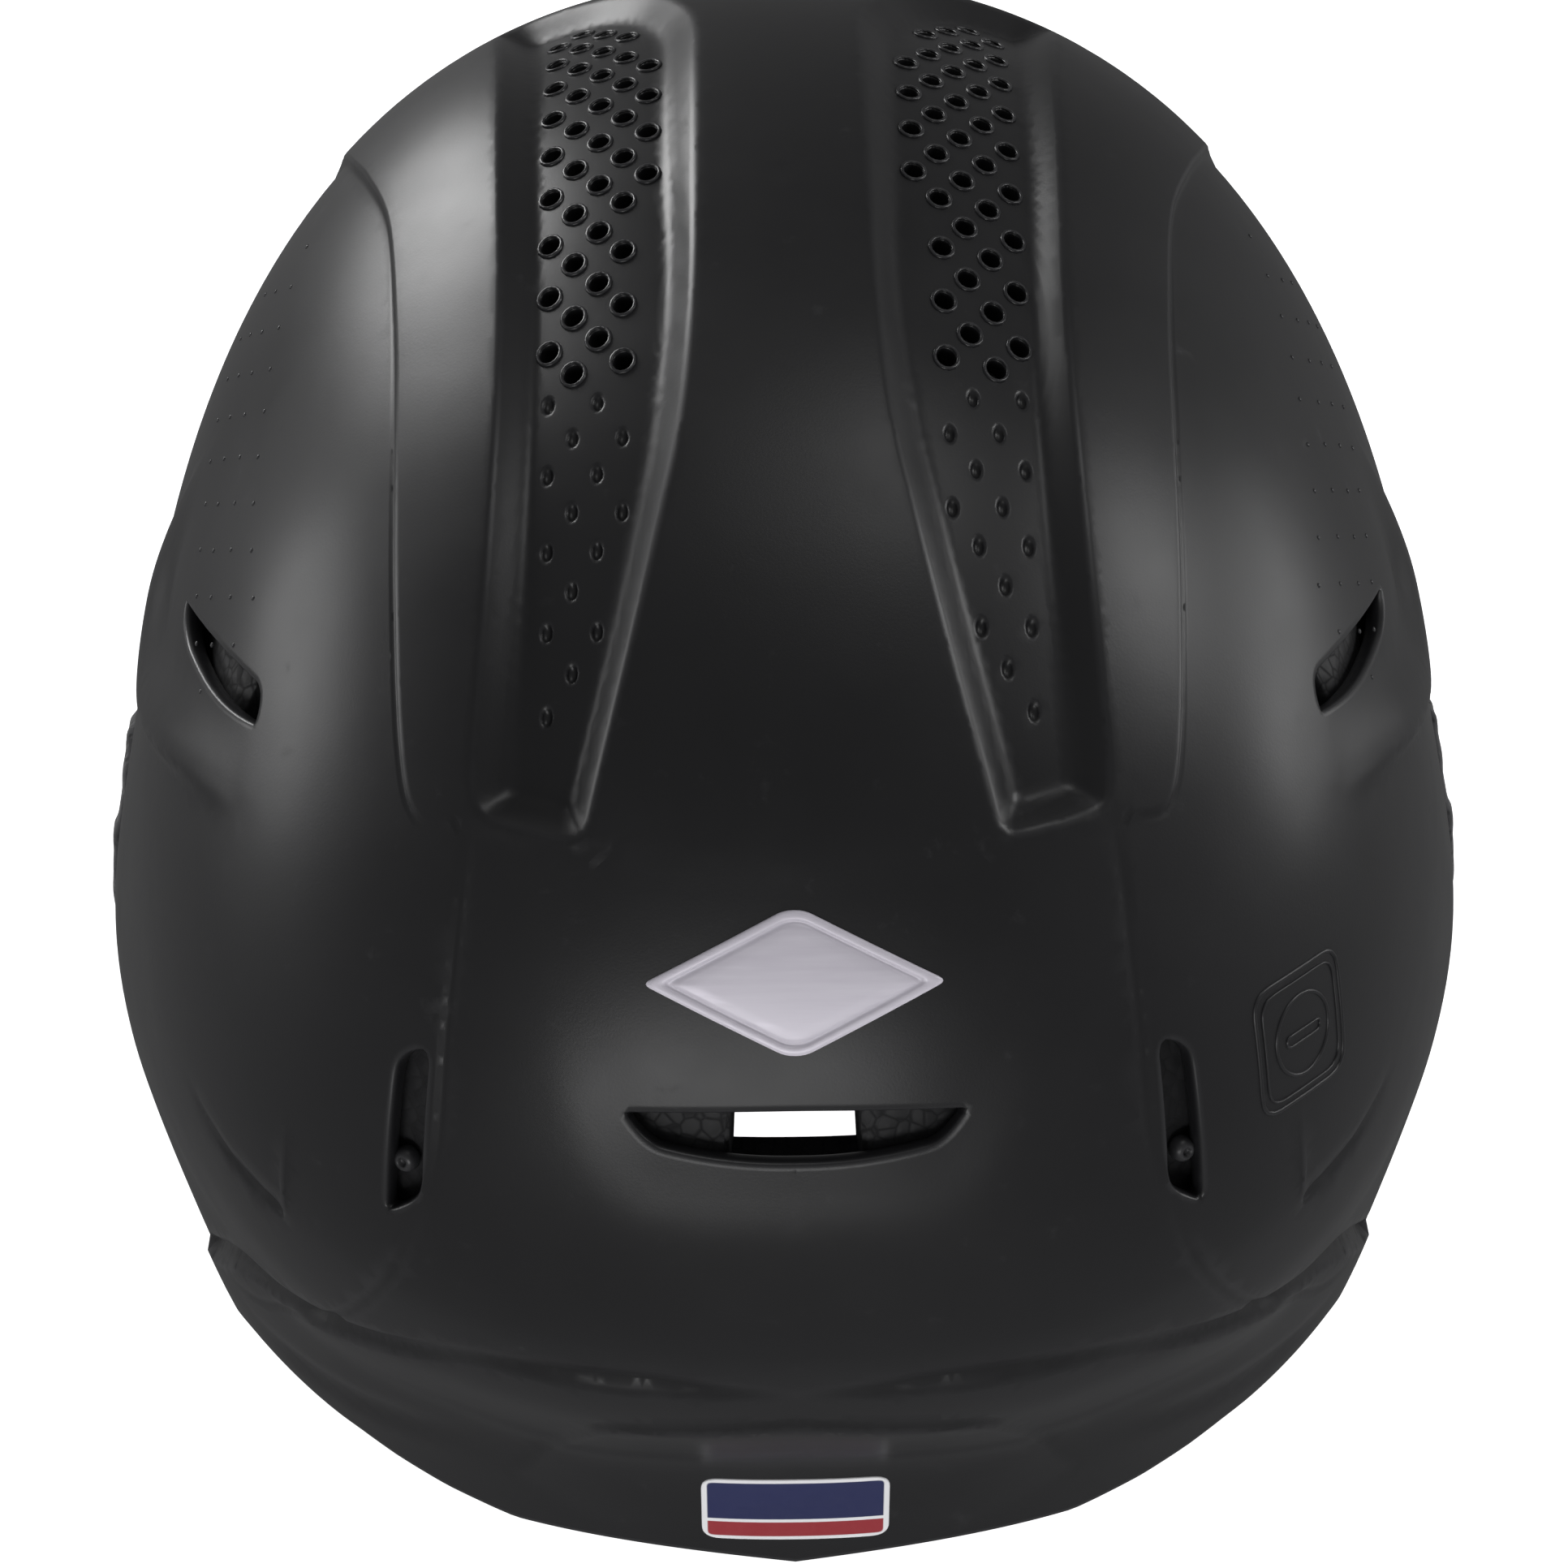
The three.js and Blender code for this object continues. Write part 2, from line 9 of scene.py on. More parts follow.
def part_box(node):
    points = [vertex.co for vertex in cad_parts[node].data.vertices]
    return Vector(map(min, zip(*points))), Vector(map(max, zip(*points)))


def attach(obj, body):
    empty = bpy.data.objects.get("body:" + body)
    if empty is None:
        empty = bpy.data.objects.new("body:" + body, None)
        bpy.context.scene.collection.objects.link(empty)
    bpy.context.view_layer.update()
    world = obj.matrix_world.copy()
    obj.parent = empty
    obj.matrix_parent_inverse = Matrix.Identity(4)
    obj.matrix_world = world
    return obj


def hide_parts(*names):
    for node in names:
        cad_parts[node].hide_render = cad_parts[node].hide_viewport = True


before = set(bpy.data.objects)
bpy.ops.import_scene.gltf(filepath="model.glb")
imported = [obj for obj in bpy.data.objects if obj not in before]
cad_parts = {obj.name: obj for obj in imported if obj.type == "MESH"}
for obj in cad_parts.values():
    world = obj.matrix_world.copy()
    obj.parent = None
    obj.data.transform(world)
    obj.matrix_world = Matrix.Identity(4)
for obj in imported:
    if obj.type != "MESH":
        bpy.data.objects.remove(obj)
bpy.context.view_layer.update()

# Batting helmet: moulded shell with two perforated channels, vents, bill, foam liners and knit pads.
# The wearer faces -Y and the wearer's left is +X. Shapes are worked out in millimetres.

MM = 0.001

# ---------------------------------------------------------------- driving dimensions of the shell

CROWN_HEIGHT = float(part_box("outer_shell")[1][2]) / MM
HALF_WIDTH = 111.0
FRONT_REACH = 142.5
BACK_REACH = 128.0
BILL_LENGTH = 60.0
WALL = 3.2
EAR_LINE_Y = (FRONT_REACH + BILL_LENGTH - BACK_REACH) / 2

SIDE_WAIST, FRONT_WAIST, BACK_WAIST = 79.0, 100.0, 110.0
SIDE_POWER, FRONT_POWER, BACK_POWER = 2.23, 2.19, 1.94
FRONT_PLAN_POWER = 2.32
EAR_BULGE = 5.5
EAR_BULGE_Y, EAR_BULGE_Z = 8.0, 72.0
EAR_BULGE_SPREAD_Y, EAR_BULGE_SPREAD_Z = 42.0, 32.0

CHANNEL_DEPTH = 4.3
CHANNEL_WALL = 4.7
HOLE_WIDTH, HOLE_LENGTH = 3.3, 4.1
RIM_GAP, ROLL_RADIUS = 0.5, 0.33
DOT_RADIUS = 0.45
HOLE_PITCH = 11.7
COLUMN_PITCH = 3.95
COLUMN_SHIFT = 5.4
OUTER_COLUMN_X = 37.2

MESH_STEP = 2.9
FINE_STEP = 1.45
RIM_SWELL = 0.55


# ---------------------------------------------------------------- the shell's surface

def smooth_curve(points):
    """A smooth curve through the points that never overshoots between them."""
    xs, ys = np.array(points, float).T
    width = np.diff(xs)
    chord = np.diff(ys) / width
    slope = np.concatenate([chord[:1], np.zeros(len(xs) - 2), chord[-1:]])
    for i in range(1, len(xs) - 1):
        before, after = chord[i - 1], chord[i]
        if before * after > 0:
            weight_before = 2 * width[i] + width[i - 1]
            weight_after = width[i] + 2 * width[i - 1]
            slope[i] = (weight_before + weight_after) / (weight_before / before + weight_after / after)

    def curve(value):
        x = np.clip(value, xs[0], xs[-1])
        i = np.clip(np.searchsorted(xs, x, side="right") - 1, 0, len(xs) - 2)
        t = (x - xs[i]) / width[i]
        from_start = (2 * t**3 - 3 * t**2 + 1) * ys[i] + (t**3 - 2 * t**2 + t) * width[i] * slope[i]
        from_end = (3 * t**2 - 2 * t**3) * ys[i + 1] + (t**3 - t**2) * width[i] * slope[i + 1]
        return from_start + from_end

    return curve


side_taper = smooth_curve([(0, 0.9), (20, 0.955), (45, 0.988), (70, 1)])
front_taper = smooth_curve([(0, 0.9), (60, 0.97), (100, 1)])
nape_taper = smooth_curve([(40, 0.95), (55, 0.935), (70, 0.925), (85, 0.96), (100, 0.99), (118, 1)])
back_plan_power = smooth_curve([(40, 2.15), (110, 2.4), (200, 2.25)])


def dome_share(z, waist, top, power):
    rise = np.clip((z - waist) / (top - waist), 0, 1)
    return np.maximum((1 - rise**power) ** (1 / power), 1e-5)


def shell_point(degrees, z, depth=0.0):
    """Point at an angle from the front and a height, `depth` below the outer surface."""
    degrees, z = np.broadcast_arrays(np.asarray(degrees, float), np.asarray(z, float))
    angle = np.radians(degrees)
    top = CROWN_HEIGHT - depth
    side = (HALF_WIDTH - depth) * dome_share(z, SIDE_WAIST, top, SIDE_POWER) * side_taper(z)
    front = (FRONT_REACH - depth) * dome_share(z, FRONT_WAIST, top, FRONT_POWER) * front_taper(z)
    back = (BACK_REACH - depth) * dome_share(z, BACK_WAIST, top, BACK_POWER) * nape_taper(z)
    in_front = np.cos(angle) > 0
    reach = np.where(in_front, front, back)
    power = np.where(in_front, FRONT_PLAN_POWER, back_plan_power(z))
    across = (np.abs(np.sin(angle)) / side) ** power
    along = (np.abs(np.cos(angle)) / reach) ** power
    radius = (across + along) ** (-1 / power)
    x = radius * np.sin(angle)
    y = -radius * np.cos(angle)
    off_y = (y - EAR_BULGE_Y) / EAR_BULGE_SPREAD_Y
    off_z = (z - EAR_BULGE_Z) / EAR_BULGE_SPREAD_Z
    bulge = np.sign(x) * EAR_BULGE * np.exp(-(off_y**2) - off_z**2) * np.minimum(np.abs(x) / 90, 1)
    return np.stack([x + bulge, y + EAR_LINE_Y, z], -1)


# The shell is laid out on a plane: the crown is at its origin, the front points down (-V), and
# distances from the origin grow with height lost, so that shapes keep their angles.

def plane_tables():
    turn = np.linspace(0, math.pi / 2, 4000)
    heights = CROWN_HEIGHT - (CROWN_HEIGHT + 3) * (1 - np.cos(turn))
    ring = np.linspace(0, 180, 25)
    points = shell_point(ring[None, :], heights[:, None])
    reach = np.hypot(points[..., 0], points[..., 1] - EAR_LINE_Y).mean(1)
    reach[0] = 0
    step = np.hypot(np.diff(reach), np.diff(heights))
    spread = np.empty_like(reach)
    spread[0], spread[1] = 0, step[0]
    middle = (reach[1:] + reach[:-1]) / 2
    for i in range(2, len(reach)):
        spread[i] = spread[i - 1] * math.exp(step[i - 1] / middle[i - 1])
    return heights, reach, spread, np.concatenate([[0], np.cumsum(step)])


TABLE_HEIGHT, TABLE_REACH, TABLE_SPREAD, TABLE_ARC = plane_tables()


def to_plane(degrees, z):
    spread = np.interp(-np.asarray(z, float), -TABLE_HEIGHT, TABLE_SPREAD)
    angle = np.radians(degrees)
    return np.stack([spread * np.sin(angle), -spread * np.cos(angle)], -1)


def from_plane(places):
    places = np.asarray(places, float)
    spread = np.hypot(places[..., 0], places[..., 1])
    degrees = np.degrees(np.arctan2(places[..., 0], -places[..., 1]))
    return degrees, np.interp(spread, TABLE_SPREAD, TABLE_HEIGHT)


def plane_scale(places):
    """Plane units in one millimetre of the shell, at each place."""
    spread = np.hypot(places[..., 0], places[..., 1])
    reach = np.interp(spread, TABLE_SPREAD, TABLE_REACH)
    return np.maximum(spread, 1e-6) / np.maximum(reach, 1e-6)


def surface(places):
    return shell_point(*from_plane(places))


def normals_at(places):
    """Outward unit normals of the plain surface."""
    step = 0.6 * plane_scale(places)[..., None]
    along_u = surface(places + step * [1, 0]) - surface(places - step * [1, 0])
    along_v = surface(places + step * [0, 1]) - surface(places - step * [0, 1])
    normal = np.cross(along_u, along_v)
    return normal / np.linalg.norm(normal, axis=-1, keepdims=True)


def solved(low, high, too_low, steps=34):
    """Halving search, for arrays, of where `too_low` turns false."""
    for _ in range(steps):
        middle = (low + high) / 2
        short = too_low(middle)
        low = np.where(short, middle, low)
        high = np.where(short, high, middle)
    return (low + high) / 2


def on_crown(points):
    """Plane places of points given in plan: x, and y from the ear line."""
    x, y = np.array(points, float).T
    degrees = np.degrees(np.arctan2(x, -y))
    radius = np.hypot(x, y)

    def inside(z):
        wall = shell_point(degrees, z)
        return np.hypot(wall[:, 0], wall[:, 1] - EAR_LINE_Y) > radius

    z = solved(np.full(len(x), 90.0), np.full(len(x), CROWN_HEIGHT), inside)
    return to_plane(degrees, z)


def on_side(points):
    """Plane places of points given as seen from the side: y from the ear line, and z."""
    y, z = np.array(points, float).T
    degrees = solved(np.zeros(len(y)), np.full(len(y), 180.0),
                     lambda d: shell_point(d, z)[:, 1] - EAR_LINE_Y < y)
    return to_plane(degrees, z)


def on_back(points):
    """Plane places of points given as seen from behind: x and z."""
    x, z = np.array(points, float).T
    degrees = solved(np.full(len(x), 90.0), np.full(len(x), 180.0), lambda d: shell_point(d, z)[:, 0] > x)
    return to_plane(degrees, z)


def wall_frame(degrees, z):
    """Local axes on the surface: level, up the wall, straight out, and their centre."""
    place = to_plane(degrees, z)
    centre, out = surface(place), normals_at(place)
    level = shell_point(degrees + 1, z) - shell_point(degrees - 1, z)
    level = level - out * (level @ out)
    level /= np.linalg.norm(level)
    return centre, level, np.cross(out, level), out


def on_wall(degrees, z, points, turn=0.0):
    """Plane places of points given in the local axes of the wall, turned by an angle."""
    centre, level, up, _ = wall_frame(degrees, z)
    lean = math.radians(turn)
    a, b = np.array(points, float).T
    wanted_a = a * math.cos(lean) - b * math.sin(lean)
    wanted_b = a * math.sin(lean) + b * math.cos(lean)
    places = np.repeat(to_plane(degrees, z)[None], len(a), 0)
    for _ in range(14):
        step = 0.5 * plane_scale(places)[:, None]
        off = surface(places) - centre
        miss_a, miss_b = wanted_a - off @ level, wanted_b - off @ up
        by_u = surface(places + step * [1, 0]) - surface(places - step * [1, 0])
        by_v = surface(places + step * [0, 1]) - surface(places - step * [0, 1])
        slope = 2 * step[:, 0]
        au, bu, av, bv = by_u @ level / slope, by_u @ up / slope, by_v @ level / slope, by_v @ up / slope
        det = au * bv - av * bu
        places = places + np.stack([(miss_a * bv - av * miss_b) / det, (au * miss_b - miss_a * bu) / det], -1)
    return places


# ---------------------------------------------------------------- lines on the plane

def spline(points, steps=12, closed=False):
    """Smooth line through points (Catmull-Rom)."""
    points = np.array(points, float)
    if closed:
        around = np.concatenate([points[-1:], points, points[:2]])
    else:
        around = np.concatenate([[2 * points[0] - points[1]], points, [2 * points[-1] - points[-2]]])
    t = np.linspace(0, 1, steps, endpoint=False)[:, None]
    out = []
    for p0, p1, p2, p3 in zip(around, around[1:], around[2:], around[3:]):
        bend = 2 * p0 - 5 * p1 + 4 * p2 - p3
        twist = -p0 + 3 * p1 - 3 * p2 + p3
        out.append(0.5 * (2 * p1 + (p2 - p0) * t + bend * t**2 + twist * t**3))
    if not closed:
        out.append(points[-1:])
    return np.concatenate(out)


def quadratic(start, control, end, steps=8):
    t = np.linspace(0, 1, steps, endpoint=False)[:, None]
    start, control, end = (np.array(p, float) for p in (start, control, end))
    return (1 - t) ** 2 * start + 2 * t * (1 - t) * control + t**2 * end


def round_corners(points, radius, steps=4):
    """Closed outline whose corners are rounded off."""
    points = np.array(points, float)
    out = []
    for before, corner, after in zip(np.roll(points, 1, 0), points, np.roll(points, -1, 0)):
        back, on = before - corner, after - corner
        cut_back = min(radius, np.linalg.norm(back) * 0.45)
        cut_on = min(radius, np.linalg.norm(on) * 0.45)
        start = corner + back / np.linalg.norm(back) * cut_back
        end = corner + on / np.linalg.norm(on) * cut_on
        out.append(quadratic(start, corner, end, steps))
        out.append(end[None])
    return np.concatenate(out)


def spaced(line, step, closed=False):
    """The line again, with its points `step` millimetres apart on the shell."""
    if closed:
        line = np.concatenate([line, line[:1]])
    middle = (line[1:] + line[:-1]) / 2
    length = np.linalg.norm(np.diff(line, axis=0), axis=1) / plane_scale(middle)
    along = np.concatenate([[0], np.cumsum(length)])
    count = max(2, int(round(along[-1] / step)))
    wanted = np.linspace(0, along[-1], count + 1)
    if closed:
        wanted = wanted[:-1]
    return np.stack([np.interp(wanted, along, line[:, 0]), np.interp(wanted, along, line[:, 1])], -1)


def beside(line, distance, closed=False):
    """The line moved to its left by a distance in millimetres."""
    if closed:
        direction = np.roll(line, -1, 0) - np.roll(line, 1, 0)
    else:
        direction = np.gradient(line, axis=0)
    left = np.stack([-direction[:, 1], direction[:, 0]], -1)
    left /= np.linalg.norm(left, axis=1, keepdims=True)
    return line + left * (distance * plane_scale(line))[:, None]


def from_line(places, line, closed=False):
    """Distance in millimetres from each place to the line, its side (+1 is left) and share along it."""
    if closed:
        line = np.concatenate([line, line[:1]])
    start, run = line[:-1], np.diff(line, axis=0)
    length = np.linalg.norm(run, axis=1)
    before = np.concatenate([[0], np.cumsum(length)[:-1]])
    best = np.full(len(places), np.inf)
    side, share = np.ones(len(places)), np.zeros(len(places))
    for i in range(len(start)):
        off = places - start[i]
        t = np.clip(off @ run[i] / length[i] ** 2, 0, 1)
        away = np.linalg.norm(off - t[:, None] * run[i], axis=1)
        nearer = away < best
        best[nearer] = away[nearer]
        side[nearer] = np.sign(run[i][0] * off[nearer, 1] - run[i][1] * off[nearer, 0])
        share[nearer] = (before[i] + t[nearer] * length[i]) / length.sum()
    return best / plane_scale(places), side, share


def within(places, outline):
    """Whether each place is inside a closed outline."""
    inside = np.zeros(len(places), bool)
    for a, b in zip(outline, np.roll(outline, -1, 0)):
        crosses = (a[1] > places[:, 1]) != (b[1] > places[:, 1])
        with np.errstate(divide="ignore", invalid="ignore"):
            at = a[0] + (places[:, 1] - a[1]) * (b[0] - a[0]) / (b[1] - a[1])
        inside ^= crosses & (places[:, 0] < at)
    return inside


def ramp(value, edge=0.16):
    """A straight slope from 0 to 1 with short rounded ends."""
    x = np.clip(value, -edge, 1 + edge)
    low = np.where(x < edge, (x + edge) ** 2 / (4 * edge), x)
    return np.where(x > 1 - edge, 1 - (1 + edge - x) ** 2 / (4 * edge), low)


def bump(value):
    """A smooth hump of height 1 at 0 that dies away at -1 and 1."""
    return np.where(np.abs(value) < 1, (1 - np.clip(value, -1, 1) ** 2) ** 2, 0)


# ---------------------------------------------------------------- openings and edges of the shell

EAR_HOLE_Y, EAR_HOLE_Z = -14.0, 72.0
EAR_HOLE_HALF_LENGTH, EAR_HOLE_HALF_HEIGHT = 23.0, 26.0
FLAP_BOTTOM = RIM_SWELL
BROW_EDGE, NAPE_EDGE = 106.0, 44.4


def rim_line():
    """The lower edge, from the middle of the brow, round the ear flap, to the middle of the nape."""
    brow = spline([(-138, 106), (-118, 103), (-97, 98), (-78, 86), (-66, 66), (-57, 36), (-51, 14)], 6)
    front_corner = quadratic((-51, 14), (-48, FLAP_BOTTOM), (-36, FLAP_BOTTOM))
    bottom = [(y, FLAP_BOTTOM) for y in range(-36, 24, 4)]
    rear_corner = quadratic((24, FLAP_BOTTOM), (38, FLAP_BOTTOM), (46, 10))
    nape = spline([(46, 10), (58, 27), (72, 40), (95, 45)], 6)
    behind = [(100, 44.9), (106, 44.8), (112, 44.6)]
    seen = on_side(np.concatenate([brow[:-1], front_corner, bottom, rear_corner, nape, behind]))
    ends = to_plane(0, BROW_EDGE)[None], to_plane(180, NAPE_EDGE)[None]
    return np.concatenate([ends[0], seen, ends[1]])


def ear_hole_outline():
    turn = np.linspace(0, 2 * math.pi, 73)[:-1]
    y = EAR_HOLE_Y + EAR_HOLE_HALF_LENGTH * np.cos(turn)
    z = EAR_HOLE_Z + EAR_HOLE_HALF_HEIGHT * np.sin(turn)
    return on_side(np.stack([y, z], -1))


def rear_slot_line():
    """The left half of the wide slot's edge, from its top middle to its bottom middle."""
    top = quadratic((0, 162.1), (13, 162.1), (24.6, 160.7))
    corner = quadratic((24.6, 160.7), (26.2, 160.4), (24.9, 159.4), 4)
    bottom = quadratic((24.9, 159.4), (22.2, 156.0), (19.5, 155.7), 6)
    under = quadratic((19.5, 155.7), (9, 154.2), (0, 154.3))
    return on_back(np.concatenate([top, corner, bottom, under, [(0, 154.3)]]))


def upright_slot_outline():
    corners = round_corners([(53.9, 161.2), (59.7, 157), (62.6, 131.4), (56.2, 138)], 3.2)
    return on_back(corners)


def side_vent_outline():
    upper = quadratic((-23, 0.8), (-20, -3.4), (-13, -4.4))
    lower = quadratic((-13, -4.4), (6, -6), (21, -2.4), 10)
    end = quadratic((21, -2.4), (20.5, 3), (16.5, 3.6), 5)
    back = quadratic((16.5, 3.6), (0, 3), (-23, 0.8), 12)
    return on_wall(106.5, 166, np.concatenate([upper, lower, end, back]), 28)


def channel_outline():
    """Edge of the long recess beside the middle of the crown, in plan."""
    outer = [(46.6, -94), (45.0, -70), (44.2, -42), (43.5, -14), (43.6, 14), (44.6, 38), (46, 58), (46.8, 68)]
    back_end = [(46.3, 73.6), (42.6, 76.4), (34.0, 80.0), (30.6, 79.9), (28.8, 75.5)]
    inner = [(23.4, 57), (18.9, 38), (15.6, 20), (14.0, -4), (13.5, -31), (13.3, -56), (13.6, -76)]
    front_end = [(17.0, -88), (22.0, -96), (30.0, -101), (40.0, -102), (45.4, -99.5)]
    return spaced(on_crown(spline(outer + back_end + inner + front_end, 8, closed=True)), 1.6, closed=True)


class Column:
    """One row of perforations: a line along the channel at a fixed x, measured by arc length."""

    def __init__(self, number):
        self.x = OUTER_COLUMN_X - number * COLUMN_PITCH
        self.y = np.linspace(-100, 84, 500)
        points = surface(on_crown([(self.x, y) for y in self.y]))
        arc = np.concatenate([[0], np.cumsum(np.linalg.norm(np.diff(points, axis=0), axis=1))])
        self.arc = arc - np.interp(2.7, self.y, arc)

    def y_at(self, arc):
        return np.interp(arc, self.arc, self.y)

    def ring(self, arc, width, length, count=16):
        turn = np.linspace(0, 2 * math.pi, count + 1)[:-1]
        y = self.y_at(arc + length / 2 * np.sin(turn))
        return on_crown(np.stack([self.x + width / 2 * np.cos(turn), y], -1))


def perforations(channel):
    """(column, arc) of every hole through the left channel's floor."""
    found = []
    for number in range(5):
        column = Column(number)
        last = (COLUMN_SHIFT * number + 2) % HOLE_PITCH - 2
        for row in range(3 if number == 4 else 0, 12):
            arc = last - row * HOLE_PITCH
            place = on_crown([(column.x, column.y_at(arc))])
            away = from_line(place, channel, closed=True)[0][0]
            if within(place, channel)[0] and away > CHANNEL_WALL + HOLE_WIDTH / 2 + 0.2:
                found.append((column, arc))
    return found


def dimples(channel):
    """(column, arc) of every blind dimple behind the holes, thinning out as the channel narrows."""
    found = []
    for row in range(9):
        for number in (row % 2, row % 2 + 2):
            column = Column(number)
            arc = 10.6 + 6.6 * row + 0.7 * number
            place = on_crown([(column.x, column.y_at(arc))])
            away = from_line(place, channel, closed=True)[0][0]
            if within(place, channel)[0] and away > CHANNEL_WALL + 1.3:
                found.append((column, arc))
    return found


rim = spaced(rim_line(), 1.9)
ear_hole = spaced(ear_hole_outline(), 1.7, closed=True)
rear_slot = spaced(rear_slot_line(), 1.0)
upright_slot = spaced(upright_slot_outline(), 1.1, closed=True)
side_vent = spaced(side_vent_outline(), 1.0, closed=True)
channel = channel_outline()
holes = perforations(channel)
pits = dimples(channel)


# ---------------------------------------------------------------- moulded lines of the shell

PANEL_SEAM = spaced(on_crown(spline([
    (74, -84), (70.5, -68), (67, -55.3), (62.6, -37), (60.6, -12), (59.8, 12), (59.2, 40),
    (58.2, 62), (56.0, 71.5), (50.5, 74.6)], 8)), 1.5)
RECESS_EDGE = spaced(on_back(spline([
    (0, 143.6), (12, 143.9), (22.5, 144.8), (27.5, 147.5), (31.5, 154), (35.2, 165), (38.5, 176),
    (38.5, 184)], 6)), 1.5)
# The outline closes a little past the middle line, so that the recess doesn't fade out there.
PAST_MIDDLE = -400
RECESS = np.concatenate([RECESS_EDGE, on_back([(0.01, 184), (0.01, 143.6)]) * [PAST_MIDDLE, 1]])
PANEL_CREASE = spaced(on_back(spline([
    (47.0, 186.0), (49.0, 178), (51.3, 164), (53.2, 148), (54.9, 139.5)], 8)), 1.8)
LOWER_CREASE = spaced(on_back(spline([
    (55.6, 137.6), (61.5, 121), (69, 103), (77.5, 84), (86.5, 65), (93.5, 56)], 8)), 1.8)
NAPE_LINE = spaced(on_back(spline([
    (99.5, 44), (97.2, 53), (92.5, 66), (83.5, 79), (71, 92.5), (59, 102), (50, 107.6), (38, 110.6),
    (22.3, 112), (11, 110.4), (0, 109.2)], 8)), 1.8)
LOW_LINE = spaced(on_back(spline([
    (46, 58), (40, 72), (33.4, 90), (29.0, 96.6), (20, 98.4), (0, 98.9)], 8)), 2.0)
SIDE_FACET = spaced(on_back(spline([(92, 47.5), (84, 51.0), (72, 56.5), (58, 63.5), (52, 66)], 8)), 2.0)
SCOOP_LIP = spaced(to_plane(*spline([
    (76.5, 157), (77.6, 148), (80.5, 137), (86, 130.5), (93, 131.5), (101.5, 141), (110.5, 152),
    (121.5, 163)], 8).T), 1.8)
SMALL_STEP = spaced(on_back(spline([(77.8, 134), (78.9, 125), (79.4, 116)], 8)), 1.4)
WEDGE = spaced(on_back(spline([(79.6, 115.6), (84.0, 114.5), (90.0, 114.2), (96.0, 116.0)], 8)), 1.4)

GUIDES = [
    (PANEL_SEAM, (-1.1, -0.6, -0.15, 0.35, 0.9, 1.5)),
    (PANEL_CREASE, (-1.4, -0.4, 0.4, 1.4)),
    (LOWER_CREASE, (-1.6, -0.6, 0.2, 1.2)),
    (NAPE_LINE, (-2.4, -1.0, 0.4, 1.6, 2.8)),
    (LOW_LINE, (-1.4, 0, 1.4)),
    (SCOOP_LIP, (-3.4, -1.7, 0, 2.0)),
    (SMALL_STEP, (-0.6, 0, 0.6)),
    (WEDGE, (-1.3, 0, 1.3)),
]


def fading(share, start, end):
    """0 at both ends of a line and 1 between the two shares."""
    return ramp(share / start) * ramp((1 - share) / end)


def signed(places, line):
    away, side, share = from_line(places, line)
    return away * side, share


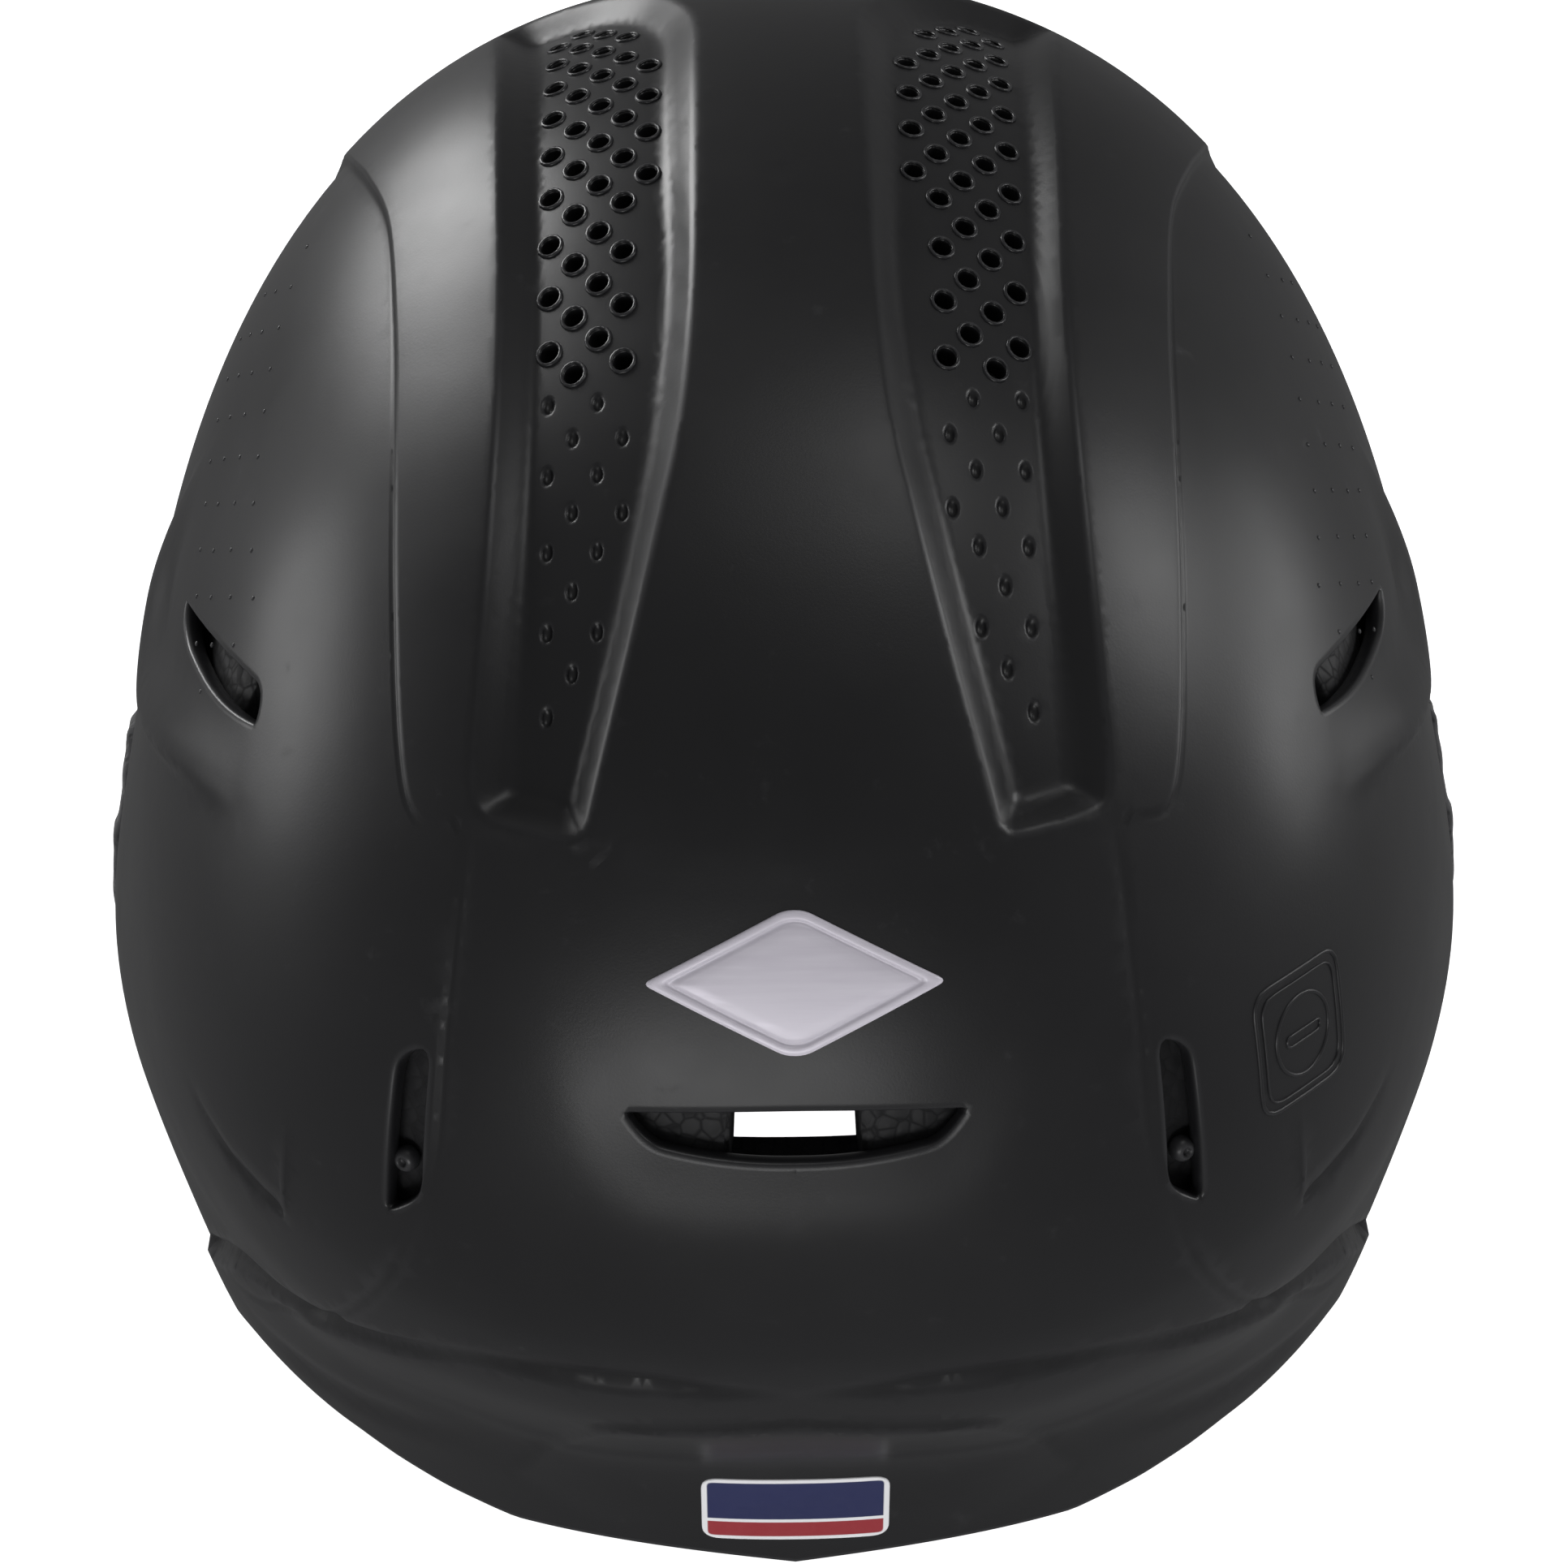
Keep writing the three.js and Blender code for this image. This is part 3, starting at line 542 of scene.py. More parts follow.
def relief(places):
    """How far the outer face stands above the plain surface, in millimetres."""
    places = np.stack([np.abs(places[:, 0]) + 1e-6, places[:, 1]], -1)
    points = surface(places)
    behind = points[:, 1] - EAR_LINE_Y
    height = points[:, 2]
    total = np.zeros(len(places))

    # The middle panel of the crown stands above the sides, most at the front.
    across, share = signed(places, PANEL_SEAM)
    rise = 0.3 + 1.3 * ramp((6 - behind) / 62)
    rise = rise * ramp((98 - behind) / 30) * ramp((height - 150) / 18)
    total += rise * ramp((across + 0.6) / 1.5)
    total -= 0.32 * bump(across / 0.55) * fading(share, 0.06, 0.05)

    # The soft recess round the badge and the rear slot.
    away = from_line(places, RECESS_EDGE)[0]
    depth = 0.5 * ramp((178 - height) / 24)
    total -= depth * ramp(away / 7.5, 0.3) * within(places, RECESS)

    # Creases that bound the panel below the crown.
    across, share = signed(places, PANEL_CREASE)
    total -= 0.42 * bump(across / 1.3) * fading(share, 0.25, 0.2)
    across, share = signed(places, LOWER_CREASE)
    fade = fading(share, 0.12, 0.3)
    total -= 0.55 * bump((across + 0.3) / 1.5) * fade

    # The nape line: a ledge at the sides and a raised band in the middle.
    across, share = signed(places, NAPE_LINE)
    from_middle = np.abs(points[:, 0])
    below = -across
    band = 1.7 * bump((from_middle - 28) / 30) - 0.2
    at_side = ramp((from_middle - 52) / 22)
    total += (band * (1 - at_side) + 1.5 * at_side) * ramp((below + 0.6) / 2.0) * ramp((34 - below) / 26)
    groove = 0.35 + 1.25 * at_side
    total -= groove * bump((across - 0.2) / 3.0) * ramp((1 - share) / 0.1)

    # A fainter line and facets lower on the nape.
    across, share = signed(places, LOW_LINE)
    total += 0.95 * ramp((-across + 0.8) / 2.0) * ramp((24 + across) / 20) * ramp(share / 0.2)
    across, share = signed(places, SIDE_FACET)
    total -= 0.9 * bump(across / 4.5) * fading(share, 0.3, 0.35)

    # The scoop under the side vent, with its turned-out lip.
    across, share = signed(places, SCOOP_LIP)
    lip = fading(share, 0.22, 0.24)
    shape = np.where(across > 0, bump(across / 13), bump(across / 3.6))
    total += 1.9 * lip * shape
    total -= 0.7 * lip * bump((across - 12) / 9)

    # A short step with a wedge cut under it.
    across, share = signed(places, SMALL_STEP)
    total += 0.35 * bump(across / 0.9) * fading(share, 0.5, 0.15)
    across, share = signed(places, WEDGE)
    total -= 1.25 * bump(across / 2.1) * ramp(share / 0.04) * ramp((1 - share) / 0.8)

    # The channel, its dimples, and the shallow gate mark in the middle of the crown.
    inside = np.where(within(places, channel), 1, -1)
    away = from_line(places, channel, closed=True)[0]
    total -= CHANNEL_DEPTH * ramp(inside * away / CHANNEL_WALL, 0.13)
    for column, arc in pits:
        centre_place = on_crown([(column.x, column.y_at(arc))])[0]
        close = np.linalg.norm(places - centre_place, axis=1) / plane_scale(centre_place) < 5
        if close.any():
            off = points[close] - surface(centre_place)
            reach = np.hypot(off[:, 0] / 1.05, np.hypot(off[:, 1], off[:, 2]) / 1.8)
            total[close] -= 0.9 * ramp((1 - reach) / 0.5, 0.1)
    gate = np.hypot(points[:, 0] / 2.6, (behind + 27) / 1.6)
    total -= 0.22 * ramp((1 - gate) / 0.5)
    return total


# ---------------------------------------------------------------- the shell's mesh

def ring_points(spacing, keep):
    """Evenly spread places over the half plane, where `keep` says so."""
    rows = np.arange(spacing * 0.5, TABLE_ARC[-1], spacing * 0.866)
    found = []
    for row, arc in enumerate(rows):
        spread = np.interp(arc, TABLE_ARC, TABLE_SPREAD)
        reach = np.interp(arc, TABLE_ARC, TABLE_REACH)
        count = max(3, int(round(math.pi * reach / spacing)))
        angle = math.pi * (np.arange(count) + (0.5 if row % 2 else 0.75)) / count
        angle = angle[angle < math.pi]
        found.append(np.stack([spread * np.sin(angle), -spread * np.cos(angle)], -1))
    places = np.concatenate(found)
    return places[keep(places)]


def fine_zone(places):
    """Where the shell's shape changes quickly: channel walls and floor, lips and creases."""
    away = from_line(places, channel, closed=True)[0]
    fine = (away < CHANNEL_WALL + 1.2) | (within(places, channel) & (from_plane(places)[1] > 150))
    for line, distances in GUIDES:
        fine |= from_line(places, line)[0] < max(abs(d) for d in distances) + 0.8
    return fine


def shell_layout():
    """Places, triangles and fixed edges of the left half of the shell, on the plane."""
    places, edges = [], []

    def add(line, closed=False):
        start = len(places)
        places.extend(line.tolist())
        edges.extend((start + i, start + i + 1) for i in range(len(line) - 1))
        if closed:
            edges.append((start + len(line) - 1, start))

    full_rim = rim.copy()
    full_rim[[0, -1], 0] = 0
    slot = rear_slot.copy()
    slot[[0, -1], 0] = 0
    add(full_rim)
    add(slot)
    for line in (full_rim, slot):
        for distance in (-0.9, 0.9):
            moved = beside(line, distance)
            moved[:, 0] = np.maximum(moved[:, 0], 0)
            add(moved)
    for outline in (ear_hole, upright_slot, side_vent):
        add(outline, closed=True)
    add(channel, closed=True)
    for distance in (-0.8, 0.9, CHANNEL_WALL - 0.9, CHANNEL_WALL + 0.5):
        add(beside(channel, -distance, closed=True), closed=True)
    for line, distances in GUIDES:
        for distance in distances:
            moved = beside(line, distance)
            add(moved[moved[:, 0] > 0.9])
    rings = []
    for column, arc in holes:
        rings.append(column.ring(arc, HOLE_WIDTH, HOLE_LENGTH))
        add(rings[-1], closed=True)
        add(column.ring(arc, HOLE_WIDTH + 1.3, HOLE_LENGTH + 1.3, 12), closed=True)
    for column, arc in pits:
        for grow in (1.3, 1.0, 0.72, 0.42):
            add(column.ring(arc, 2.1 * grow, 3.6 * grow, 12), closed=True)
    for outline, gaps in ((ear_hole, (1.2,)), (upright_slot, (0.8,)), (side_vent, (0.8,))):
        for gap in gaps:
            add(beside(outline, -gap, closed=True), closed=True)
            add(beside(outline, gap, closed=True), closed=True)
    middle_top, middle_low = slot[0, 1], slot[-1, 1]
    for low, high in ((full_rim[0, 1], middle_top), (middle_low, full_rim[-1, 1])):
        line = spaced(np.stack([np.zeros(400), np.linspace(low, high, 400)], -1), 1.7)
        add(line)
    fixed = np.array(places)

    def clear(spots, taken, gap):
        tree = kdtree.KDTree(len(taken))
        for i, (u, v) in enumerate(taken):
            tree.insert((u, v, 0), i)
        tree.balance()
        scale = plane_scale(spots)
        return np.array([tree.find((u, v, 0))[2] > gap * s for (u, v), s in zip(spots, scale)])

    domain = full_rim
    coarse = ring_points(MESH_STEP, lambda p: within(p, domain) & ~fine_zone(p))
    fine = ring_points(FINE_STEP, lambda p: within(p, domain) & fine_zone(p))
    fine = fine[clear(fine, fixed, 0.62)]
    coarse = coarse[clear(coarse, np.concatenate([fixed, fine]), 1.0)]
    everything = np.concatenate([fixed, coarse, fine])
    flat = [Vector(p) for p in everything]
    out = geometry.delaunay_2d_cdt(flat, edges, [], 0, 1e-6, False)
    spots = np.array([tuple(p) for p in out[0]])
    spots[np.abs(spots[:, 0]) < 1e-5, 0] = 0
    triangles = np.array(out[2])
    centres = spots[triangles].mean(1)
    mirrored_slot = np.concatenate([slot, (slot * [-1, 1])[::-1]])
    keep = within(centres, domain) & ~within(centres, mirrored_slot)
    for outline in [ear_hole, upright_slot, side_vent, *rings]:
        keep &= ~within(centres, outline)
    triangles = without_slivers(surface(spots), triangles[keep], spots[:, 0] == 0)
    used = np.unique(triangles)
    number = np.full(len(spots), -1)
    number[used] = np.arange(len(used))
    return spots[used], number[triangles]


def without_slivers(points, triangles, on_middle):
    """Turns the long edge of each needle-thin triangle, so that every face keeps a true normal."""
    triangles = triangles.tolist()
    for _ in range(5):
        owner = {}
        for number, (a, b, c) in enumerate(triangles):
            owner[a, b] = owner[b, c] = owner[c, a] = number
        corners = points[np.array(triangles)]
        edges = np.linalg.norm(np.roll(corners, -1, 1) - corners, axis=2)
        area = np.linalg.norm(np.cross(corners[:, 1] - corners[:, 0], corners[:, 2] - corners[:, 0]), axis=1)
        thin = np.flatnonzero(area / edges.max(1) < 0.06)
        touched, dropped = set(), set()
        for number in thin.tolist():
            turn = int(edges[number].argmax())
            a, b, v = (triangles[number][(turn + k) % 3] for k in range(3))
            other = owner.get((b, a))
            if number in touched or other in touched:
                continue
            if other is None:
                if not (on_middle[a] and on_middle[b]):
                    dropped.add(number)
                    touched.add(number)
                continue
            d = next(i for i in triangles[other] if i not in (a, b))
            if (v, d) in owner or (d, v) in owner:
                continue
            triangles[number], triangles[other] = [a, d, v], [d, b, v]
            touched.update((number, other))
        triangles = [tri for number, tri in enumerate(triangles) if number not in dropped]
    return np.array(triangles)


def shell_mesh():
    """Vertices (in millimetres) and faces of the whole shell, both sides, walls and rims."""
    spots, triangles = shell_layout()
    outer = surface(spots)
    normal = normals_at(spots)
    on_middle = spots[:, 0] == 0
    normal[on_middle, 0] = 0
    lift = relief(spots)
    outer = outer + normal * lift[:, None]
    inner = surface(spots) + normal * (np.minimum(lift, 1.2) - WALL)[:, None]
    outer[on_middle, 0] = 0
    inner[on_middle, 0] = 0

    a, b, c = outer[triangles[:, 0]], outer[triangles[:, 1]], outer[triangles[:, 2]]
    face_normal = np.cross(b - a, c - a)
    flip = (face_normal * normal[triangles[:, 0]]).sum(1) < 0
    triangles[flip] = triangles[flip][:, ::-1]

    count = len(spots)
    edges = {}
    for tri in triangles:
        for i, j in ((0, 1), (1, 2), (2, 0)):
            p, q = int(tri[i]), int(tri[j])
            if (q, p) in edges:
                del edges[(q, p)]
            else:
                edges[(p, q)] = True
    border = [(p, q) for p, q in edges if not (on_middle[p] and on_middle[q])]

    # Each border edge keeps the face on its left, so the way out of the face is to its right.
    push = np.zeros((count, 3))
    for p, q in border:
        along = outer[q] - outer[p]
        away = np.cross(along, normal[p])
        away /= max(np.linalg.norm(away), 1e-9)
        push[p] += away
        push[q] += away
    size = np.linalg.norm(push, axis=1, keepdims=True)
    push = push / np.maximum(size, 1e-9)
    push[on_middle, 0] = 0

    rows = [(0.1, 0.6), (0.32, 0.95), (0.68, 0.95), (0.9, 0.6)]
    ring = sorted({p for edge in border for p in edge})
    swell = np.full(count, RIM_SWELL)
    small = np.zeros(count, bool)
    for column, arc in holes:
        centre_place = on_crown([(column.x, column.y_at(arc))])[0]
        small |= np.linalg.norm(spots - centre_place, axis=1) / plane_scale(centre_place) < HOLE_LENGTH
    swell[small] = 0.12
    at = {p: i for i, p in enumerate(ring)}
    base = 2 * count
    points = [outer, inner]
    ring_outer, ring_inner = outer[ring], inner[ring]
    for share, out in rows:
        points.append(ring_outer * (1 - share) + ring_inner * share
                      + push[ring] * (swell[ring] * out)[:, None])
    faces = [tuple(tri) for tri in triangles.tolist()]
    faces += [tuple(count + i for i in reversed(tri)) for tri in triangles.tolist()]
    size = len(ring)
    for p, q in border:
        chain_p = [p] + [base + k * size + at[p] for k in range(len(rows))] + [count + p]
        chain_q = [q] + [base + k * size + at[q] for k in range(len(rows))] + [count + q]
        for k in range(len(chain_p) - 1):
            faces.append((chain_q[k], chain_p[k], chain_p[k + 1], chain_q[k + 1]))
    points = np.concatenate(points)
    points[np.abs(points[:, 0]) < 1e-6, 0] = 0
    total = len(points)
    other = points * [-1, 1, 1]
    same = points[:, 0] == 0
    number = np.where(same, np.arange(total), np.cumsum(~same) - 1 + total)
    faces += [tuple(int(number[i]) for i in reversed(face)) for face in faces]
    return np.concatenate([points, other[~same]]), faces


def mesh_object(name, points, faces, smooth=True):
    """A new object in metres from points in millimetres."""
    mesh = bpy.data.meshes.new(name)
    mesh.from_pydata((np.asarray(points) * MM).tolist(), [], faces)
    mesh.validate()
    mesh.polygons.foreach_set("use_smooth", [smooth] * len(mesh.polygons))
    mesh.update()
    piece = bpy.data.objects.new(name, mesh)
    bpy.context.scene.collection.objects.link(piece)
    return piece


# ---------------------------------------------------------------- small helpers for pieces

def lay_flat(piece, name, flat):
    """Gives the piece a UV map from flat places in millimetres, one for each point."""
    corner = np.zeros(len(piece.data.loops), int)
    piece.data.loops.foreach_get("vertex_index", corner)
    layer = piece.data.uv_layers.new(name=name)
    layer.data.foreach_set("uv", (flat[corner] * MM).ravel())


def joined(name, parts):
    """One mesh object from several (points, faces) pairs, in millimetres."""
    points, faces, start = [], [], 0
    for part_points, part_faces in parts:
        points.append(np.asarray(part_points, float))
        faces += [tuple(start + i for i in face) for face in part_faces]
        start += len(part_points)
    return mesh_object(name, np.concatenate(points), faces)


def loft(rings, caps=True):
    """Points and faces of a surface through closed rings that all have the same number of points."""
    rings = [np.asarray(ring, float) for ring in rings]
    size = len(rings[0])
    faces = []
    for k in range(len(rings) - 1):
        for i in range(size):
            j = (i + 1) % size
            faces.append((k * size + i, k * size + j, (k + 1) * size + j, (k + 1) * size + i))
    points = np.concatenate(rings)
    if caps:
        first, last = len(points), len(points) + 1
        points = np.concatenate([points, rings[0].mean(0)[None], rings[-1].mean(0)[None]])
        base = (len(rings) - 1) * size
        for i in range(size):
            j = (i + 1) % size
            faces.append((first, j, i))
            faces.append((last, base + i, base + j))
    return points, faces


def face_outwards(piece, merge=True):
    """Turns all faces outwards. With `merge`, points in the same place are joined first."""
    shape = bmesh.new()
    shape.from_mesh(piece.data)
    if merge:
        bmesh.ops.remove_doubles(shape, verts=shape.verts, dist=1e-6)
    bmesh.ops.recalc_face_normals(shape, faces=shape.faces)
    shape.to_mesh(piece.data)
    shape.free()
    piece.data.polygons.foreach_set("use_smooth", [True] * len(piece.data.polygons))
    piece.data.update()
    return piece


def both_sides(values):
    """Points or directions of the left side, followed by those of the right."""
    return np.concatenate([values, values * np.array([-1, 1, 1])])


def mirrored_part(part):
    points, faces = part
    return np.asarray(points) * [-1, 1, 1], [tuple(reversed(face)) for face in faces]


def on_shell(places, lift=0.0):
    """Points on the moulded outer face, raised by `lift` millimetres."""
    return surface(places) + normals_at(places) * (relief(places) + lift)[:, None]


def merge_into(piece, *others):
    """Joins other objects into the piece."""
    with bpy.context.temp_override(active_object=piece, object=piece,
                                   selected_editable_objects=[piece, *others]):
        bpy.ops.object.join()
    return piece


def fix(piece, node, material=None):
    """The piece rides on the shell's body, stands for a CAD node and takes its finish."""
    if material:
        piece.data.materials.clear()
        piece.data.materials.append(material)
    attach(piece, "root")
    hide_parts(node)


def socket(tree, name):
    return next(item.identifier for item in tree.interface.items_tree if item.name == name)


def baked(piece):
    """The piece as a plain mesh, with its modifiers worked in and removed."""
    graph = bpy.context.evaluated_depsgraph_get()
    graph.update()
    mesh = bpy.data.meshes.new_from_object(piece.evaluated_get(graph))
    piece.modifiers.clear()
    piece.data = mesh
    return piece


def scattered(name, points, out, along, make, sizes, material):
    """One small shape on each point, turned to stand on the surface, by Geometry Nodes.
    `make(nodes, link, entry)` builds the shape and returns its output socket."""
    seeds = bpy.data.meshes.new(name + "_points")
    seeds.from_pydata((np.asarray(points) * MM).tolist(), [], [])
    for label, values in (("out", out), ("along", along)):
        layer = seeds.attributes.new(label, "FLOAT_VECTOR", "POINT")
        layer.data.foreach_set("vector", np.asarray(values).astype(np.float32).ravel())
    piece = bpy.data.objects.new(name, seeds)
    bpy.context.scene.collection.objects.link(piece)

    tree = bpy.data.node_groups.new(name, "GeometryNodeTree")
    tree.interface.new_socket("Geometry", in_out="INPUT", socket_type="NodeSocketGeometry")
    for label in sizes:
        tree.interface.new_socket(label, in_out="INPUT", socket_type="NodeSocketFloat")
    tree.interface.new_socket("Material", in_out="INPUT", socket_type="NodeSocketMaterial")
    tree.interface.new_socket("Geometry", in_out="OUTPUT", socket_type="NodeSocketGeometry")
    nodes, link = tree.nodes, tree.links.new
    entry = nodes.new("NodeGroupInput")
    leave = nodes.new("NodeGroupOutput")
    shape = make(nodes, link, entry)

    stand = nodes.new("FunctionNodeAlignRotationToVector")
    stand.axis = "Z"
    swing = nodes.new("FunctionNodeAlignRotationToVector")
    swing.axis = "Y"
    swing.pivot_axis = "Z"
    for label, target in (("out", stand), ("along", swing)):
        stored = nodes.new("GeometryNodeInputNamedAttribute")
        stored.data_type = "FLOAT_VECTOR"
        stored.inputs["Name"].default_value = label
        link(stored.outputs["Attribute"], target.inputs["Vector"])
    link(stand.outputs["Rotation"], swing.inputs["Rotation"])
    place = nodes.new("GeometryNodeInstanceOnPoints")
    link(entry.outputs["Geometry"], place.inputs["Points"])
    link(shape, place.inputs["Instance"])
    link(swing.outputs["Rotation"], place.inputs["Rotation"])
    real = nodes.new("GeometryNodeRealizeInstances")
    link(place.outputs["Instances"], real.inputs["Geometry"])
    shade = nodes.new("GeometryNodeSetShadeSmooth")
    link(real.outputs["Geometry"], shade.inputs["Geometry"])
    coat = nodes.new("GeometryNodeSetMaterial")
    link(shade.outputs["Geometry"], coat.inputs["Geometry"])
    link(entry.outputs["Material"], coat.inputs["Material"])
    link(coat.outputs["Geometry"], leave.inputs["Geometry"])

    modifier = piece.modifiers.new(name, "NODES")
    modifier.node_group = tree
    for label, size in sizes.items():
        modifier[socket(tree, label)] = size * MM
    modifier[socket(tree, "Material")] = material
    return baked(piece)


# ---------------------------------------------------------------- bill, rims and raised marks

BILL_HALF_ANGLE = 48.0
BILL_THICKNESS = 3.5
BILL_DROOP = 18.0
BILL_FAN = 0.3
BILL_ROOT_Z, BILL_ARCH = 109.0, 16.0
BILL_FILLET = 7.5


def bill_part():
    """The bill: a curved blade that grows out of the brow with a fillet above its root."""
    spread = np.sin(np.linspace(-1, 1, 65) * math.pi / 2)
    reach = np.concatenate([np.linspace(0, 0.3, 10), np.linspace(0.34, 0.97, 22)])
    rings = []
    for u in spread * 0.9985:
        degrees = u * BILL_HALF_ANGLE
        heading = math.radians(degrees * BILL_FAN)
        root = shell_point(degrees, BILL_ROOT_Z - BILL_ARCH * u * u, WALL / 2)
        length = (BILL_LENGTH + WALL / 2) * (1 - abs(u) ** 3) ** 0.7
        slope = math.tan(math.radians(BILL_DROOP))
        forward = np.array([math.sin(heading), -math.cos(heading), -slope])
        fillet = BILL_FILLET * min(1, length / 22)
        away = length * reach
        bead = 0.35 * bump((length - away - 6) / 3.2) * min(1, length / 30)
        top = BILL_THICKNESS / 2 + fillet * np.clip(1 - away / 15, 0, 1) ** 2.4 + bead
        tip = np.linspace(math.pi / 2, -math.pi / 2, 7)
        half = BILL_THICKNESS / 2
        upper = root + np.outer(away, forward) + np.outer(top, [0, 0, 1])
        nose = root + np.outer(length * 0.975 + half * np.cos(tip), forward)
        nose = nose + np.outer(half * np.sin(tip), [0, 0, 1])
        lower = root + np.outer(away[::-1], forward) - np.outer(np.full(len(away), half), [0, 0, 1])
        rings.append(np.concatenate([upper, nose, lower]))
    return loft(rings)


def bead_part(line, width, height):
    """A raised moulded line that follows the shell and closes on itself."""
    points = on_shell(line)
    normal = normals_at(line)
    along = np.roll(points, -1, 0) - np.roll(points, 1, 0)
    side = np.cross(along, normal)
    side /= np.linalg.norm(side, axis=1, keepdims=True)
    profile = [(-1, -0.6), (-0.8, 0.45), (-0.4, 0.92), (0, 1), (0.4, 0.92), (0.8, 0.45), (1, -0.6)]
    rings = [np.array([p + s * (a * width / 2) + n * (b * height) for a, b in profile])
             for p, s, n in zip(points, side, normal)]
    rings.append(rings[0])
    return loft(rings, caps=False)


def seal_part():
    """A blank embossed seal behind the wearer's right ear: a rounded square round a ring and a bar."""
    frame_place = (137.9, 145.1)
    square = round_corners([(-10.5, -10.5), (10.5, -10.5), (10.5, 10.5), (-10.5, 10.5)], 4)
    turn = np.linspace(0, 2 * math.pi, 41)[:-1]
    ring = np.stack([6.6 * np.cos(turn), 6.6 * np.sin(turn)], -1)
    bar = round_corners([(-4.2, -0.9), (4.2, -0.9), (4.2, 0.9), (-4.2, 0.9)], 0.8)
    parts = []
    for outline, width in ((square, 0.8), (square * 0.86, 0.45), (ring, 0.7), (bar, 0.5)):
        line = spaced(on_wall(*frame_place, outline, 18), 0.8, closed=True)
        parts.append(mirrored_part(bead_part(line, width, 0.28)))
    return parts


def rim_shape(nodes, link, entry):
    """A rolled rim round one perforation."""
    circle = nodes.new("GeometryNodeCurvePrimitiveCircle")
    circle.inputs["Resolution"].default_value = 14
    circle.inputs["Radius"].default_value = 0.5
    size = nodes.new("ShaderNodeCombineXYZ")
    link(entry.outputs["Rim width"], size.inputs["X"])
    link(entry.outputs["Rim length"], size.inputs["Y"])
    size.inputs["Z"].default_value = 1
    stretch = nodes.new("GeometryNodeTransform")
    link(circle.outputs["Curve"], stretch.inputs["Geometry"])
    link(size.outputs[0], stretch.inputs["Scale"])
    section = nodes.new("GeometryNodeCurvePrimitiveCircle")
    section.inputs["Resolution"].default_value = 6
    link(entry.outputs["Roll radius"], section.inputs["Radius"])
    sweep = nodes.new("GeometryNodeCurveToMesh")
    link(stretch.outputs["Geometry"], sweep.inputs["Curve"])
    link(section.outputs["Curve"], sweep.inputs["Profile Curve"])
    return sweep.outputs["Mesh"]


def perforation_rims(material):
    places = np.array([on_crown([(column.x, column.y_at(arc))])[0] for column, arc in holes])
    ahead = np.array([on_crown([(column.x, column.y_at(arc + 1))])[0] for column, arc in holes])
    points = on_shell(places, 0.02)
    out = normals_at(places)
    along = surface(ahead) - surface(places)
    return scattered("perforation_rims", both_sides(points), both_sides(out), both_sides(along), rim_shape,
                     {"Rim width": HOLE_WIDTH + RIM_GAP, "Rim length": HOLE_LENGTH + RIM_GAP,
                      "Roll radius": ROLL_RADIUS}, material)


# ---------------------------------------------------------------- slabs: liners and pads

# Depths of each layer's outer and inner face below the shell's surface.
LINER = (4.6, 16.0)
CROWN_LINER = (8.6, 20.0)
TAB = (16.7, 17.7)
PAD = (18.4, 27.0)
CROWN_PAD = (22.4, 30.0)
CROWN_TAB = (20.7, 21.7)
PAD_STEP, LINER_STEP = 2.1, 2.6
WELD_WIDTH, SEAM_HALF_WIDTH = 2.6, 1.4
STITCH_INSET, STITCH_PITCH, STITCH_LENGTH, THREAD_RADIUS = 3.1, 3.0, 2.2, 0.22
HOOK_PITCH = 2.4
HOOK_SIZES = {"Stem radius": 0.16, "Head radius": 0.34, "Hook height": 0.3}
CLOTH_FRAMES = 20
PAD_SWELL = 1.1


def crown_point(x, y, depth):
    """Points on a layer below the crown, given in plan."""
    x, y, depth = np.broadcast_arrays(x, y, depth)
    degrees, radius = np.degrees(np.arctan2(x, -y)), np.hypot(x, y)

    def inside(z):
        wall = shell_point(degrees, z, depth)
        return np.hypot(wall[..., 0], wall[..., 1] - EAR_LINE_Y) > radius

    z = solved(np.full(x.shape, 90.0), CROWN_HEIGHT - depth, inside)
    return np.stack([x, y + EAR_LINE_Y, z], -1)


class WallArea:
    """A patch of the wall between two angles and two heights, with drawn-in corners."""

    def __init__(self, start, end, low, high, rounding=0.5):
        self.start, self.end, self.low, self.high, self.rounding = start, end, low, high, rounding
        middle = shell_point(np.linspace(start, end, 60), (low + high) / 2, 18)
        rise = shell_point((start + end) / 2, np.linspace(low, high, 60), 18)
        self.width = np.linalg.norm(np.diff(middle, axis=0), axis=1).sum()
        self.height = np.linalg.norm(np.diff(rise, axis=0), axis=1).sum()

    def point(self, u, v, depth):
        drawn_u = u * np.sqrt(1 - self.rounding * v * v / 2)
        drawn_v = v * np.sqrt(1 - self.rounding * u * u / 2)
        degrees = (self.start + self.end) / 2 + drawn_u * (self.end - self.start) / 2
        z = (self.low + self.high) / 2 + drawn_v * (self.high - self.low) / 2
        return shell_point(degrees, z, depth)


class CrownArea:
    """A patch across the crown, from its plan size."""

    def __init__(self, half_width, half_length, y, rounding=0.9):
        self.half_width, self.half_length, self.y, self.rounding = half_width, half_length, y, rounding
        self.width, self.height = 2 * half_width, 2 * half_length

    def point(self, u, v, depth):
        drawn_u = u * np.sqrt(1 - self.rounding * v * v / 2)
        drawn_v = v * np.sqrt(1 - self.rounding * u * u / 2)
        return crown_point(drawn_u * self.half_width, self.y + drawn_v * self.half_length, depth)


NOTCH_HALF_ANGLE = 5.8


